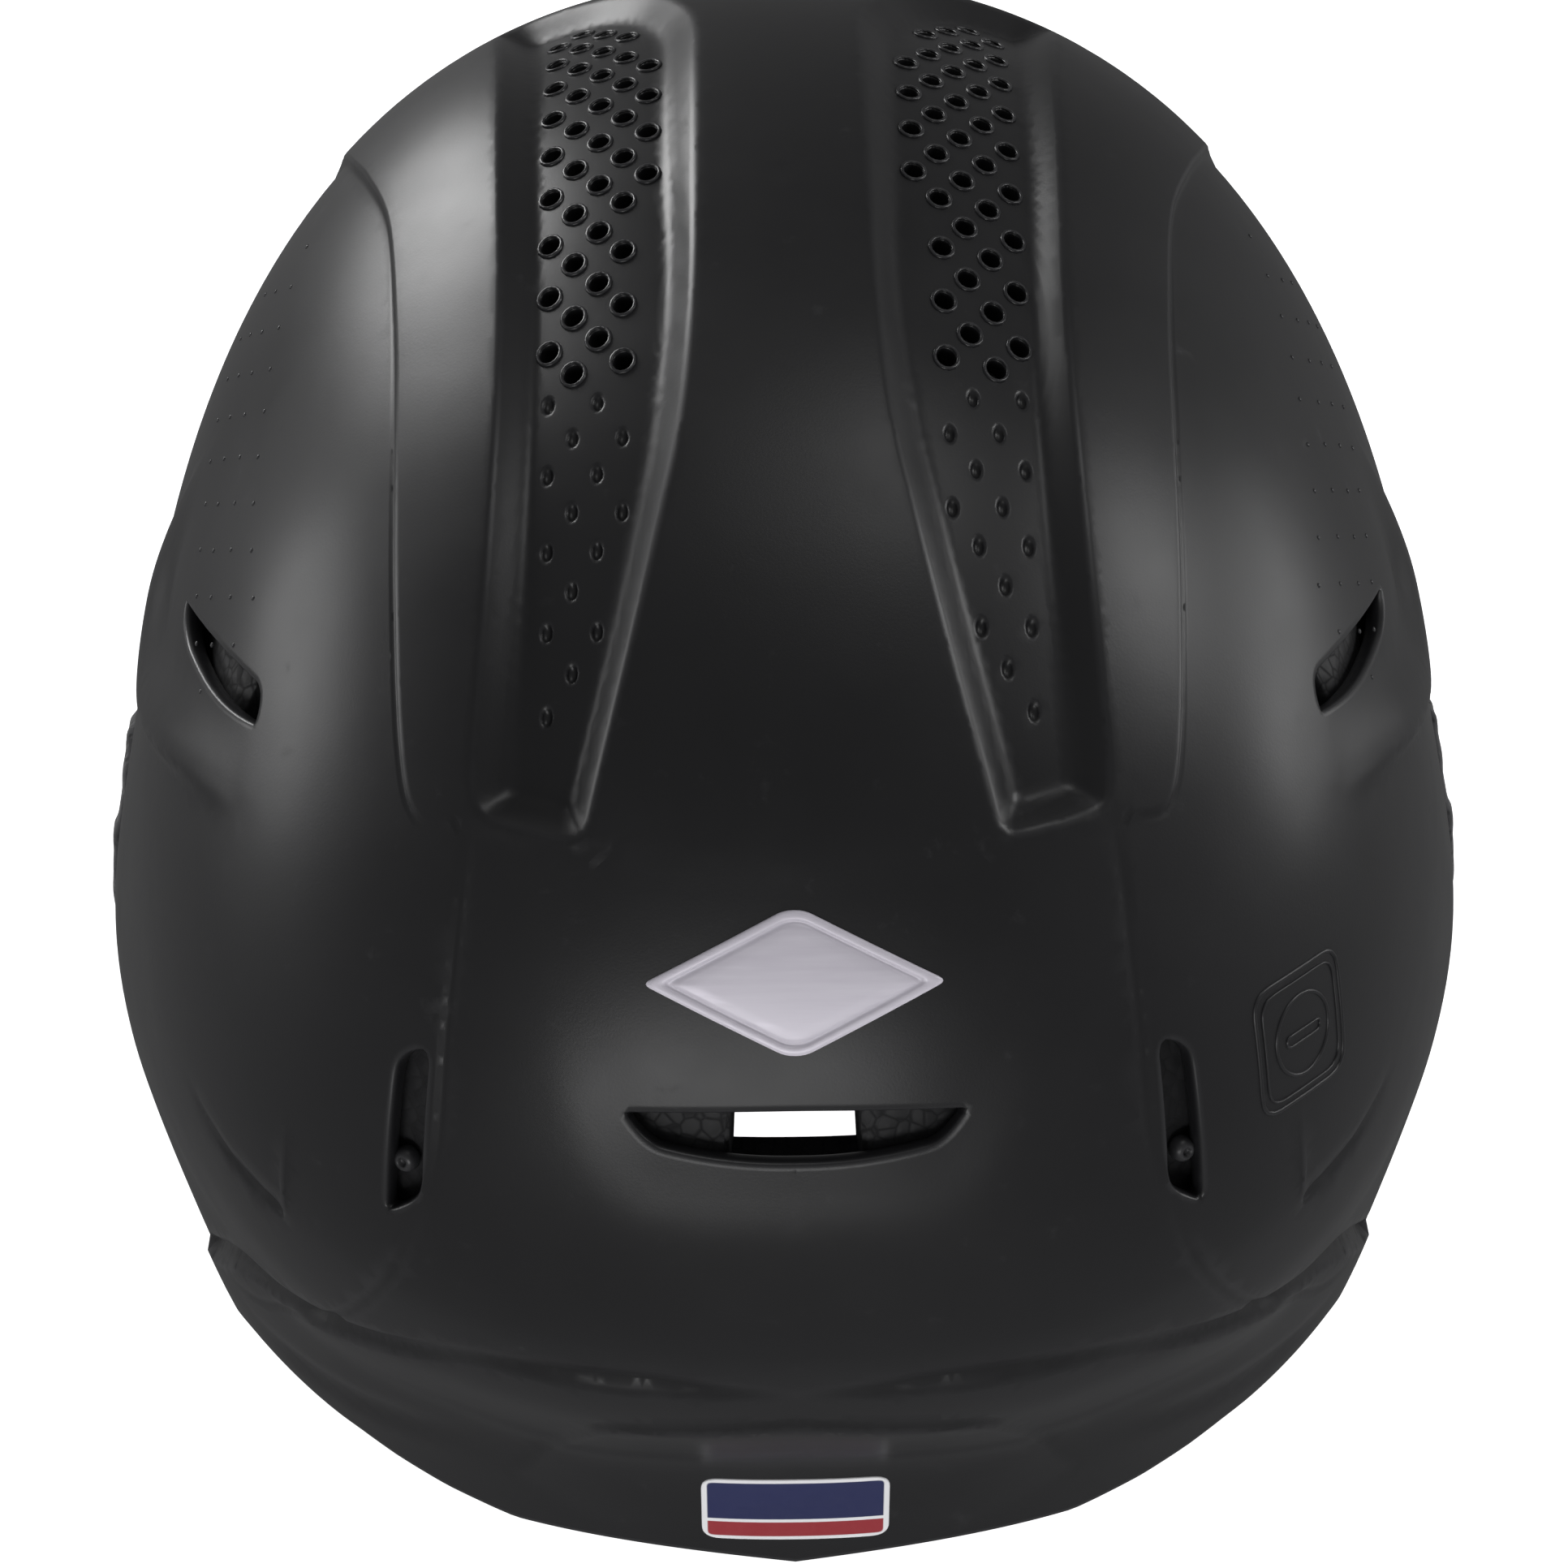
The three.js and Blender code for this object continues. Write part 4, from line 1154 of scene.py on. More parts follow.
class NotchedArea(WallArea):
    """The rear liner's patch, whose top is cut down in the middle behind the rear slot."""

    def point(self, u, v, depth):
        off_middle = np.abs(u) * (self.end - self.start) / 2
        top = np.where(off_middle < NOTCH_HALF_ANGLE, 146.0, self.high)
        drawn_u = u * np.sqrt(1 - self.rounding * v * v / 2)
        z = self.low + (v + 1) / 2 * (top - self.low)
        degrees = (self.start + self.end) / 2 + drawn_u * (self.end - self.start) / 2
        return shell_point(degrees, z - self.rounding * 6 * (u * v) ** 2 * np.sign(v), depth)


def crowded(count):
    """Values from -1 to 1, closer together near the ends."""
    s = np.linspace(-1, 1, count + 1)
    return np.sign(s) * (1 - (1 - np.abs(s)) ** 1.5)


def slab(name, area, step, section, extra_u=()):
    """A closed slab over an area. `section(e, u, v)` gives the depths of its back and its face,
    where e is the distance in millimetres from the slab's edge. Returns the piece and, for each of
    its points, that distance and the place on the slab laid flat."""
    across = crowded(max(8, int(area.width / step)))
    across = np.unique(np.concatenate([across, extra_u]))
    up = crowded(max(8, int(area.height / step)))
    u, v = np.meshgrid(across, up, indexing="ij")
    from_side = (1 - np.abs(u)) * area.width / 2
    from_end = (1 - np.abs(v)) * area.height / 2
    soft = 3.0
    edge = -np.log(np.exp(-from_side / soft) + np.exp(-from_end / soft) - np.exp(
        -(from_side + from_end) / soft)) * soft
    edge = np.maximum(edge, 0)
    back, face = section(edge, u, v)
    rows, columns = u.shape
    points = np.concatenate([area.point(u, v, back).reshape(-1, 3), area.point(u, v, face).reshape(-1, 3)])
    flat = np.concatenate([np.stack([u * area.width / 2, v * area.height / 2], -1).reshape(-1, 2)] * 2)
    faces = []
    half = rows * columns

    def at(i, j, side):
        return side * half + i * columns + j

    for i in range(rows - 1):
        for j in range(columns - 1):
            faces.append((at(i, j, 0), at(i + 1, j, 0), at(i + 1, j + 1, 0), at(i, j + 1, 0)))
            faces.append((at(i, j, 1), at(i, j + 1, 1), at(i + 1, j + 1, 1), at(i + 1, j, 1)))
        faces.append((at(i, 0, 0), at(i, 0, 1), at(i + 1, 0, 1), at(i + 1, 0, 0)))
        last = columns - 1
        faces.append((at(i, last, 0), at(i + 1, last, 0), at(i + 1, last, 1), at(i, last, 1)))
    for j in range(columns - 1):
        faces.append((at(0, j, 0), at(0, j + 1, 0), at(0, j + 1, 1), at(0, j, 1)))
        last = rows - 1
        faces.append((at(last, j, 0), at(last, j, 1), at(last, j + 1, 1), at(last, j + 1, 0)))
    piece = mesh_object(name, points, faces)
    lay_flat(piece, "weave", flat)
    from_edge = np.concatenate([edge.ravel(), edge.ravel()])
    return face_outwards(piece, merge=False), from_edge, flat


def cloth_swell(piece, held, cap, pressure=4.0):
    """Swells a padded piece by cloth simulation. `held` is 1 where it is welded or sewn down."""
    mesh = piece.data
    rest = np.zeros(len(mesh.vertices) * 3)
    mesh.vertices.foreach_get("co", rest)
    group = piece.vertex_groups.new(name="held")
    for i, weight in enumerate(held):
        if weight > 0:
            group.add([i], float(min(weight, 1)), "REPLACE")
    cloth = piece.modifiers.new("swell", "CLOTH")
    cloth.settings.quality = 5
    cloth.settings.mass = 0.2
    cloth.settings.tension_stiffness = 12
    cloth.settings.compression_stiffness = 12
    cloth.settings.shear_stiffness = 4
    cloth.settings.bending_stiffness = 0.4
    cloth.settings.use_pressure = True
    cloth.settings.uniform_pressure_force = pressure
    cloth.settings.effector_weights.gravity = 0
    cloth.settings.vertex_group_mass = "held"
    cloth.collision_settings.use_collision = False
    cloth.collision_settings.use_self_collision = False
    cloth.point_cache.frame_start = 1
    cloth.point_cache.frame_end = CLOTH_FRAMES
    scene = bpy.context.scene
    for number in range(1, CLOTH_FRAMES + 1):
        scene.frame_set(number)
    graph = bpy.context.evaluated_depsgraph_get()
    swollen = np.zeros(len(rest))
    piece.evaluated_get(graph).data.vertices.foreach_get("co", swollen)
    move = (swollen - rest).reshape(-1, 3)
    size = np.linalg.norm(move, axis=1, keepdims=True)
    move *= np.minimum(1, cap * MM / np.maximum(size, 1e-9))
    piece.modifiers.clear()
    piece.vertex_groups.clear()
    mesh.vertices.foreach_set("co", (rest.reshape(-1, 3) + move).ravel())
    mesh.update()
    scene.frame_set(1)


def subdivided(piece):
    finer = piece.modifiers.new("finer", "SUBSURF")
    finer.levels = finer.render_levels = 1
    return baked(piece)


def pad_section(layer, seams_u=(), seams_v=(), width=1.0, height=1.0, swell=1.0):
    """Cross-section of a pad: a thin welded edge, a crowned face, and sewn channels across it."""
    outer, inner = layer
    full = inner - outer - 1.6

    def section(edge, u, v):
        back = outer + 0.35 + 0.7 * (1 - np.clip(edge / 2, 0, 1)) ** 2
        rise = np.sqrt(1 - (1 - np.clip((edge - 2.2) / 7.5, 0, 1)) ** 2)
        crown = 0.9 + 0.1 * (1 - u * u) * (1 - v * v)
        thick = 1.3 + (full * swell - 1.3) * rise * crown
        for seam in seams_u:
            thick -= (thick - 2.6) * 0.75 * bump((u - seam) * width / 2 / 4.2) * rise
        for seam in seams_v:
            thick -= (thick - 2.6) * 0.75 * bump((v - seam) * height / 2 / 4.2) * rise
        return back, back + thick

    return section


def pad(name, area, layer, seams_u, seams_v):
    """A knit-covered foam pad, sewn round its edge, swollen by cloth simulation."""
    section = pad_section(layer, seams_u, seams_v, area.width, area.height, 0.9)
    piece, edge, flat = slab(name, area, PAD_STEP, section)
    held = (edge < WELD_WIDTH).astype(float)
    held[: len(held) // 2] = 1
    for seam in seams_u:
        held = np.maximum(held, np.abs(flat[:, 0] - seam * area.width / 2) < SEAM_HALF_WIDTH)
    for seam in seams_v:
        held = np.maximum(held, np.abs(flat[:, 1] - seam * area.height / 2) < SEAM_HALF_WIDTH)
    cloth_swell(piece, held, PAD_SWELL)
    return subdivided(piece)


def liner_section(layer, grooves_u=(), grooves_v=(), width=1.0, height=1.0):
    """Cross-section of a foam liner: bevelled edges and moulded grooves on the face."""
    outer, inner = layer

    def section(edge, u, v):
        bevel = 2.0 * (1 - np.clip(edge / 2.4, 0, 1))
        back = outer + 0.25 + bevel * 0.7
        face = inner - 0.25 - bevel
        cut = np.zeros_like(u)
        for groove in grooves_u:
            cut = np.maximum(cut, bump((u - groove) * width / 2 / 3.6))
        for groove in grooves_v:
            cut = np.maximum(cut, bump((v - groove) * height / 2 / 3.6))
        return back, face - 1.7 * cut * np.clip(edge / 3, 0, 1)

    return section


# ---------------------------------------------------------------- pads, liners and small pieces

def mirrored_piece(piece, name):
    """A copy of the piece on the other side of the helmet."""
    twin = bpy.data.objects.new(name, piece.data.copy())
    bpy.context.scene.collection.objects.link(twin)
    twin.data.transform(Matrix.Diagonal((-1, 1, 1, 1)))
    return face_outwards(twin, merge=False)


def stitch_shape(nodes, link, entry):
    """A short, flat loop of thread that dips into the fabric at both ends."""
    arc = nodes.new("GeometryNodeCurveQuadraticBezier")
    arc.inputs["Resolution"].default_value = 5
    for end, sign in (("Start", -1), ("End", 1)):
        reach = nodes.new("ShaderNodeMath")
        reach.operation = "MULTIPLY"
        link(entry.outputs["Stitch length"], reach.inputs[0])
        reach.inputs[1].default_value = 0.5 * sign
        spot = nodes.new("ShaderNodeCombineXYZ")
        link(reach.outputs[0], spot.inputs["Y"])
        spot.inputs["Z"].default_value = -0.00015
        link(spot.outputs[0], arc.inputs[end])
    arc.inputs["Middle"].default_value = (0, 0, 0.0006)
    section = nodes.new("GeometryNodeCurvePrimitiveCircle")
    section.inputs["Resolution"].default_value = 6
    link(entry.outputs["Thread radius"], section.inputs["Radius"])
    sweep = nodes.new("GeometryNodeCurveToMesh")
    link(arc.outputs["Curve"], sweep.inputs["Curve"])
    link(section.outputs["Curve"], sweep.inputs["Profile Curve"])
    sweep.inputs["Fill Caps"].default_value = True
    return sweep.outputs["Mesh"]


def stitches(name, mesh_piece, lines, thread):
    """Rows of stitches laid on the piece along lines of points, in millimetres."""
    graph = bpy.context.evaluated_depsgraph_get()
    found, out, along = [], [], []
    for line in lines:
        points = np.asarray(line)
        length = np.concatenate([[0], np.cumsum(np.linalg.norm(np.diff(points, axis=0), axis=1))])
        wanted = np.arange(STITCH_PITCH / 2, length[-1] - 1, STITCH_PITCH)
        spots = np.stack([np.interp(wanted, length, points[:, k]) for k in range(3)], -1)
        ahead = np.stack([np.interp(wanted + 0.5, length, points[:, k]) for k in range(3)], -1)
        for spot, next_spot in zip(spots, ahead):
            hit, place, normal, _ = mesh_piece.closest_point_on_mesh(Vector(spot * MM), depsgraph=graph)
            if hit:
                found.append(np.array(place) / MM)
                out.append(np.array(normal))
                along.append(next_spot - spot)
    return scattered(name, found, out, along, stitch_shape,
                     {"Stitch length": STITCH_LENGTH, "Thread radius": THREAD_RADIUS}, thread)


def seam_lines(area, layer, seams_u, seams_v):
    """Lines just inside the pad's edge and along its sewn channels."""
    limit_u = 1 - 2 * STITCH_INSET / area.width
    limit_v = 1 - 2 * STITCH_INSET / area.height
    run = np.linspace(-1, 1, 90)
    flat = np.ones(90)
    depth = layer[0] + 2.6
    lines = [area.point(run * limit_u, flat * limit_v * side, depth) for side in (-1, 1)]
    lines += [area.point(flat * limit_u * side, run * limit_v, depth) for side in (-1, 1)]
    lines += [area.point(flat * seam, run * limit_v, depth) for seam in seams_u]
    lines += [area.point(run * limit_u, flat * seam, depth) for seam in seams_v]
    return lines


def dot_shape(nodes, link, entry):
    """A small low dome."""
    ball = nodes.new("GeometryNodeMeshUVSphere")
    ball.inputs["Segments"].default_value = 7
    ball.inputs["Rings"].default_value = 4
    link(entry.outputs["Dot radius"], ball.inputs["Radius"])
    flatten = nodes.new("GeometryNodeTransform")
    flatten.inputs["Scale"].default_value = (1, 1, 0.5)
    link(ball.outputs["Mesh"], flatten.inputs["Geometry"])
    return flatten.outputs["Geometry"]


def side_dots(material):
    """Small raised grains in staggered rows above each side vent."""
    spots = [(-52 + 9.5 * column + 4.75 * (row % 2), 178.5 - 5.6 * row - 0.35 * abs(column - 4))
             for row in range(4) for column in range(9)]
    places = on_side(spots)
    points, out = on_shell(places), normals_at(places)
    along = surface(on_side(np.array(spots) + [1, 0])) - surface(places)
    return scattered("side_dots", both_sides(points), both_sides(out), both_sides(along), dot_shape,
                     {"Dot radius": DOT_RADIUS}, material)


def sewn_pad(name, area, layer, seams_u, seams_v, fabric, thread):
    piece = pad(name, area, layer, seams_u, seams_v)
    piece.data.materials.clear()
    piece.data.materials.append(fabric)
    sewing = stitches(name + "_thread", piece, seam_lines(area, layer, seams_u, seams_v), thread)
    return merge_into(piece, sewing)


def liner(name, area, layer, grooves_u=(), grooves_v=()):
    section = liner_section(layer, grooves_u, grooves_v, area.width, area.height)
    return slab(name, area, LINER_STEP, section)[0]


def hook_shape(nodes, link, entry):
    """A tiny stem with a mushroom head."""
    stem = nodes.new("GeometryNodeMeshCone")
    stem.inputs["Vertices"].default_value = 5
    link(entry.outputs["Stem radius"], stem.inputs["Radius Bottom"])
    link(entry.outputs["Head radius"], stem.inputs["Radius Top"])
    link(entry.outputs["Hook height"], stem.inputs["Depth"])
    return stem.outputs["Mesh"]


def hook_tab(name, area, layer, material):
    """A thin plate with rounded edges, covered in tiny hooks that hold the pad."""
    outer, inner = layer
    plate_face = inner - 0.35

    def section(edge, u, v):
        round_off = 0.2 * (1 - np.clip(edge / 0.8, 0, 1)) ** 2
        return outer + round_off, plate_face - round_off + 0 * u

    piece = slab(name, area, 2.2, section)[0]
    piece.data.materials.append(material)
    across = np.linspace(-0.9, 0.9, max(4, int(area.width / HOOK_PITCH)))
    up = np.linspace(-0.85, 0.85, max(4, int(area.height / HOOK_PITCH)))
    u, v = (grid.ravel() for grid in np.meshgrid(across, up))
    points = area.point(u, v, plate_face + 0.12)
    out = points - area.point(u, v, plate_face - 1)
    along = area.point(u, v + 0.01, plate_face) - area.point(u, v, plate_face)
    hooks = scattered(name + "_hooks", points, out, along, hook_shape, HOOK_SIZES, material)
    return merge_into(piece, hooks)


def foam_ring(name, node, voxel, push, fabric):
    """A foam pad remeshed from its CAD solid, softened, and swollen by cloth simulation."""
    piece = bpy.data.objects.new(name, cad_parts[node].data.copy())
    bpy.context.scene.collection.objects.link(piece)
    shape = bmesh.new()
    shape.from_mesh(piece.data)
    bmesh.ops.remove_doubles(shape, verts=shape.verts, dist=1e-6)
    bmesh.ops.recalc_face_normals(shape, faces=shape.faces)
    shape.to_mesh(piece.data)
    shape.free()
    remesh = piece.modifiers.new("remesh", "REMESH")
    remesh.mode = "VOXEL"
    remesh.voxel_size = voxel * MM
    smooth = piece.modifiers.new("soften", "SMOOTH")
    smooth.factor = 0.5
    smooth.iterations = 5
    baked(piece)
    mesh = piece.data
    normal = np.zeros(len(mesh.vertices) * 3)
    mesh.vertices.foreach_get("normal", normal)
    place = np.zeros(len(mesh.vertices) * 3)
    mesh.vertices.foreach_get("co", place)
    mesh.vertices.foreach_set("co", place - normal * 0.25 * MM)
    mesh.update()
    still = np.abs((place - normal * 0.25 * MM).reshape(-1, 3)[:, 0]) / MM
    cloth_swell(piece, (still > still.max() - 12).astype(float), push, 2.0)
    subdivided(piece)
    piece.data.materials.clear()
    piece.data.materials.append(fabric)
    piece.data.polygons.foreach_set("use_smooth", [True] * len(piece.data.polygons))
    return piece


PIN_DEGREES, PIN_Z = 150.4, 141.0


def pin_piece(name, side):
    """The liner pin: a domed head with a turned recess, a collar and a barbed shank."""
    profile = [
        (0.0, -2.35), (0.45, -2.35), (0.6, -2.2), (0.75, -1.75), (0.95, -1.62), (1.25, -1.68),
        (1.6, -1.95), (1.88, -2.4), (1.98, -2.9), (1.98, -3.8), (1.85, -4.1), (1.3, -4.2), (1.08, -4.4),
        (1.05, -7.8), (1.05, -8.0), (0.8, -8.5), (1.08, -9.4), (0.8, -9.9), (1.08, -10.8), (0.8, -11.3),
        (1.08, -12.2), (0.8, -13.2), (0.4, -13.9), (0.0, -14.0),
    ]
    centre, level, up, out = wall_frame(PIN_DEGREES, PIN_Z)
    turn = np.linspace(0, 2 * math.pi, 33)[:-1]
    rings = []
    for radius, height in profile:
        radius = max(radius, 0.02)
        rings.append(centre + out * height + radius * (np.outer(np.cos(turn), level)
                                                      + np.outer(np.sin(turn), up)))
    part = loft(rings)
    if side < 0:
        part = mirrored_part(part)
    return face_outwards(joined(name, [part]))


def filled_in(outline, step):
    """The closed outline with points added along its straight runs."""
    return np.concatenate([
        np.linspace(a, b, max(1, int(np.linalg.norm(b - a) / step)), endpoint=False)
        for a, b in zip(outline, np.roll(outline, -1, 0))])


def badge_piece():
    """A blank diamond with a raised border round a crowned field."""
    corners = [(-22.3, 0), (-1.5, -10.8), (1.5, -10.8), (22.3, 0), (1.5, 10.8), (-1.5, 10.8)]
    diamond = filled_in(round_corners(corners, 1.4), 0.8)
    steps = [(1.0, -0.7), (1.0, 0.15), (0.985, 0.42), (0.955, 0.5), (0.9, 0.5), (0.875, 0.42), (0.865, 0.2),
             (0.83, 0.18), (0.815, 0.26), (0.79, 0.42), (0.76, 0.5), (0.62, 0.54), (0.44, 0.58), (0.26, 0.6),
             (0.1, 0.6)]
    rings = [on_shell(on_wall(180, 177, diamond * size), lift) for size, lift in steps]
    return face_outwards(joined("rear_badge_plate", [loft(rings)]))


LABEL_WIDTH, LABEL_HEIGHT = 30.6, 16.6


def label_piece():
    """A thin printed sticker on the nape, plain bands inside a pale border."""
    half_width, half_height = LABEL_WIDTH / 2, LABEL_HEIGHT / 2
    outline = round_corners([(-half_width, -half_height), (half_width, -half_height),
                             (half_width, half_height), (-half_width, half_height)], 3, 8)
    outline = filled_in(outline, 1.2)
    steps = [(1.0, -0.5), (1.0, 0.1), (0.995, 0.2), (0.985, 0.24), (0.95, 0.25), (0.85, 0.25), (0.7, 0.25),
             (0.55, 0.25), (0.4, 0.25), (0.25, 0.25), (0.1, 0.25)]
    rings, flat = [], []
    for size, lift in steps:
        rings.append(on_shell(on_wall(180, 59, outline * size), lift))
        flat.append(outline * size)
    points, faces = loft(rings)
    flat = np.concatenate([*flat, [[0, 0], [0, 0]]])
    piece = mesh_object("nape_label_sticker", points, faces)
    lay_flat(piece, "print", flat)
    return face_outwards(piece, merge=False)


# ---------------------------------------------------------------- finishes

class Finish:
    """A procedural finish: a shader and the nodes that feed it."""

    def __init__(self, name, colour, roughness):
        self.material = bpy.data.materials.new(name)
        self.material.use_nodes = True
        self.nodes = self.material.node_tree.nodes
        self.link = self.material.node_tree.links.new
        self.shader = self.nodes["Principled BSDF"]
        self.set("Base Color", (*colour, 1))
        self.set("Roughness", roughness)
        self.normal = None

    def set(self, name, value):
        self.shader.inputs[name].default_value = value

    def feed(self, name, value):
        self.link(value, self.shader.inputs[name])

    def place(self):
        return self.nodes.new("ShaderNodeTexCoord").outputs["Object"]

    def flat(self, layer):
        node = self.nodes.new("ShaderNodeUVMap")
        node.uv_map = layer
        return node.outputs["UV"]

    def stored(self, name):
        node = self.nodes.new("ShaderNodeAttribute")
        node.attribute_name = name
        return node.outputs["Fac"]

    def split(self, vector):
        node = self.nodes.new("ShaderNodeSeparateXYZ")
        self.link(vector, node.inputs[0])
        return node.outputs

    def noise(self, vector, scale, detail=3.0, roughness=0.55):
        node = self.nodes.new("ShaderNodeTexNoise")
        self.link(vector, node.inputs["Vector"])
        node.inputs["Scale"].default_value = scale
        node.inputs["Detail"].default_value = detail
        node.inputs["Roughness"].default_value = roughness
        return node.outputs["Fac"]

    def cells(self, vector, scale, feature="F1"):
        node = self.nodes.new("ShaderNodeTexVoronoi")
        node.feature = feature
        self.link(vector, node.inputs["Vector"])
        node.inputs["Scale"].default_value = scale
        return node.outputs["Distance"]

    def math(self, operation, *values):
        node = self.nodes.new("ShaderNodeMath")
        node.operation = operation
        for i, value in enumerate(values):
            if isinstance(value, (int, float)):
                node.inputs[i].default_value = value
            else:
                self.link(value, node.inputs[i])
        return node.outputs[0]

    def span(self, value, low, high, to_low=0.0, to_high=1.0):
        node = self.nodes.new("ShaderNodeMapRange")
        self.link(value, node.inputs["Value"])
        for name, number in (("From Min", low), ("From Max", high), ("To Min", to_low), ("To Max", to_high)):
            node.inputs[name].default_value = number
        return node.outputs["Result"]

    def blend(self, share, first, second):
        node = self.nodes.new("ShaderNodeMix")
        node.data_type = "RGBA"
        self.link(share, node.inputs["Factor"])
        for slot_name, value in (("A", first), ("B", second)):
            target = next(i for i in node.inputs if i.name == slot_name and i.type == "RGBA")
            if isinstance(value, tuple):
                target.default_value = (*value, 1)
            else:
                self.link(value, target)
        return next(o for o in node.outputs if o.type == "RGBA")

    def bump(self, height, strength, distance_mm):
        node = self.nodes.new("ShaderNodeBump")
        node.inputs["Strength"].default_value = strength
        node.inputs["Distance"].default_value = distance_mm * MM
        self.link(height, node.inputs["Height"])
        if self.normal is not None:
            self.link(self.normal, node.inputs["Normal"])
        self.normal = node.outputs["Normal"]
        self.feed("Normal", self.normal)


def satin_black_plastic():
    """Injection-moulded shell plastic: fine moulded grain, faint flow clouds, polished edges and
    light scuffs."""
    finish = Finish("satin_black_plastic", (0.012, 0.012, 0.013), 0.4)
    place = finish.place()
    cloud = finish.noise(place, 22, 4)
    grain = finish.noise(place, 2600, 2)
    scuff = finish.span(finish.noise(place, 140, 6, 0.7), 0.62, 0.74)
    wear = finish.stored("edge_wear")
    body = finish.blend(cloud, (0.0085, 0.0085, 0.0095), (0.014, 0.014, 0.0155))
    scuffed = finish.blend(finish.math("MULTIPLY", scuff, 0.3), body, (0.04, 0.04, 0.043))
    finish.feed("Base Color", finish.blend(finish.math("MULTIPLY", wear, 0.5), scuffed, (0.05, 0.05, 0.054)))
    rough = finish.span(cloud, 0.3, 0.7, 0.33, 0.42)
    rough = finish.math("ADD", rough, finish.math("MULTIPLY", scuff, 0.07))
    finish.feed("Roughness", finish.math("SUBTRACT", rough, finish.math("MULTIPLY", wear, 0.08)))
    finish.bump(grain, 0.22, 0.05)
    finish.bump(finish.noise(place, 160, 3), 0.1, 0.12)
    return finish.material


def bead_foam():
    """Moulded bead foam: packed beads a few millimetres across with fine seams between them."""
    finish = Finish("black_bead_foam", (0.02, 0.02, 0.022), 0.72)
    place = finish.place()
    bead = finish.cells(place, 420)
    seam = finish.cells(place, 420, "DISTANCE_TO_EDGE")
    tone = finish.blend(finish.span(seam, 0.0, 0.16), (0.015, 0.015, 0.016), (0.025, 0.025, 0.027))
    finish.feed("Base Color", finish.blend(finish.noise(place, 40), tone, (0.02, 0.02, 0.022)))
    finish.feed("Roughness", finish.span(seam, 0, 0.12, 0.88, 0.62))
    finish.bump(finish.span(bead, 0, 0.7, 1, 0), 0.5, 0.35)
    finish.bump(finish.noise(place, 1600, 2), 0.25, 0.08)
    return finish.material


def knit_fabric():
    """Charcoal jersey: columns of V stitches with fuzz, on the pad's own layout in metres."""
    finish = Finish("charcoal_knit", (0.045, 0.046, 0.05), 0.92)
    finish.set("Sheen Weight", 0.35)
    finish.set("Sheen Roughness", 0.45)
    finish.set("Sheen Tint", (0.6, 0.6, 0.65, 1))
    across, up, _ = finish.split(finish.flat("weave"))
    column = finish.math("PINGPONG", finish.math("MULTIPLY", across, 1 / 0.0011), 0.5)
    row = finish.math("ADD", finish.math("MULTIPLY", up, 1 / 0.0009), finish.math("MULTIPLY", column, 1.3))
    wave = finish.math("SINE", finish.math("MULTIPLY", row, 2 * math.pi))
    hump = finish.math("SINE", finish.math("MULTIPLY", column, 2 * math.pi))
    yarn = finish.math("MULTIPLY", hump, finish.math("ADD", 0.62, finish.math("MULTIPLY", wave, 0.38)))
    place = finish.place()
    fuzz = finish.noise(place, 1400, 3)
    tone = finish.blend(finish.span(yarn, 0.05, 0.9), (0.018, 0.018, 0.021), (0.062, 0.063, 0.069))
    finish.feed("Base Color", finish.blend(finish.span(fuzz, 0.3, 0.75), tone, (0.045, 0.046, 0.052)))
    finish.feed("Roughness", finish.span(fuzz, 0.3, 0.7, 0.84, 0.98))
    finish.bump(yarn, 0.75, 0.3)
    finish.bump(fuzz, 0.3, 0.12)
    return finish.material


def pad_foam():
    """Soft skinned foam of the ear and jaw pads: open pores and a faint rubbed sheen."""
    finish = Finish("soft_ear_foam", (0.022, 0.022, 0.024), 0.8)
    finish.set("Sheen Weight", 0.2)
    finish.set("Sheen Roughness", 0.5)
    place = finish.place()
    pore = finish.cells(place, 700)
    hollow = finish.span(pore, 0.1, 0.45)
    worn = finish.noise(place, 55, 4)
    tone = finish.blend(hollow, (0.009, 0.009, 0.010), (0.028, 0.028, 0.031))
    finish.feed("Base Color", finish.blend(finish.span(worn, 0.5, 0.75), tone, (0.035, 0.035, 0.038)))
    finish.feed("Roughness", finish.span(worn, 0.3, 0.7, 0.86, 0.7))
    finish.bump(hollow, 0.55, 0.25)
    finish.bump(finish.noise(place, 1800, 2), 0.3, 0.08)
    return finish.material


def mottled_plastic(name, colour, roughness, mottle, gloss, grain):
    """A plain plastic. `mottle` holds its pattern's scale and two colours, `gloss` its scale and two
    roughnesses, and `grain` the bump's scale, strength and depth."""
    scale, dark, light = mottle
    finish = Finish(name, colour, roughness)
    place = finish.place()
    finish.feed("Base Color", finish.blend(finish.noise(place, scale), dark, light))
    scale, low, high = gloss
    finish.feed("Roughness", finish.span(finish.noise(place, scale), 0.3, 0.7, low, high))
    scale, strength, depth = grain
    finish.bump(finish.noise(place, scale), strength, depth)
    return finish.material


def hook_nylon():
    mottle = (700, (0.007, 0.007, 0.008), (0.02, 0.02, 0.022))
    return mottled_plastic("hook_nylon", (0.01, 0.01, 0.011), 0.5, mottle, (300, 0.4, 0.6),
                           (1500, 0.25, 0.08))


def pin_plastic():
    mottle = (400, (0.026, 0.026, 0.028), (0.04, 0.04, 0.043))
    return mottled_plastic("grey_pin_plastic", (0.03, 0.03, 0.032), 0.4, mottle, (600, 0.3, 0.48),
                           (2200, 0.15, 0.05))


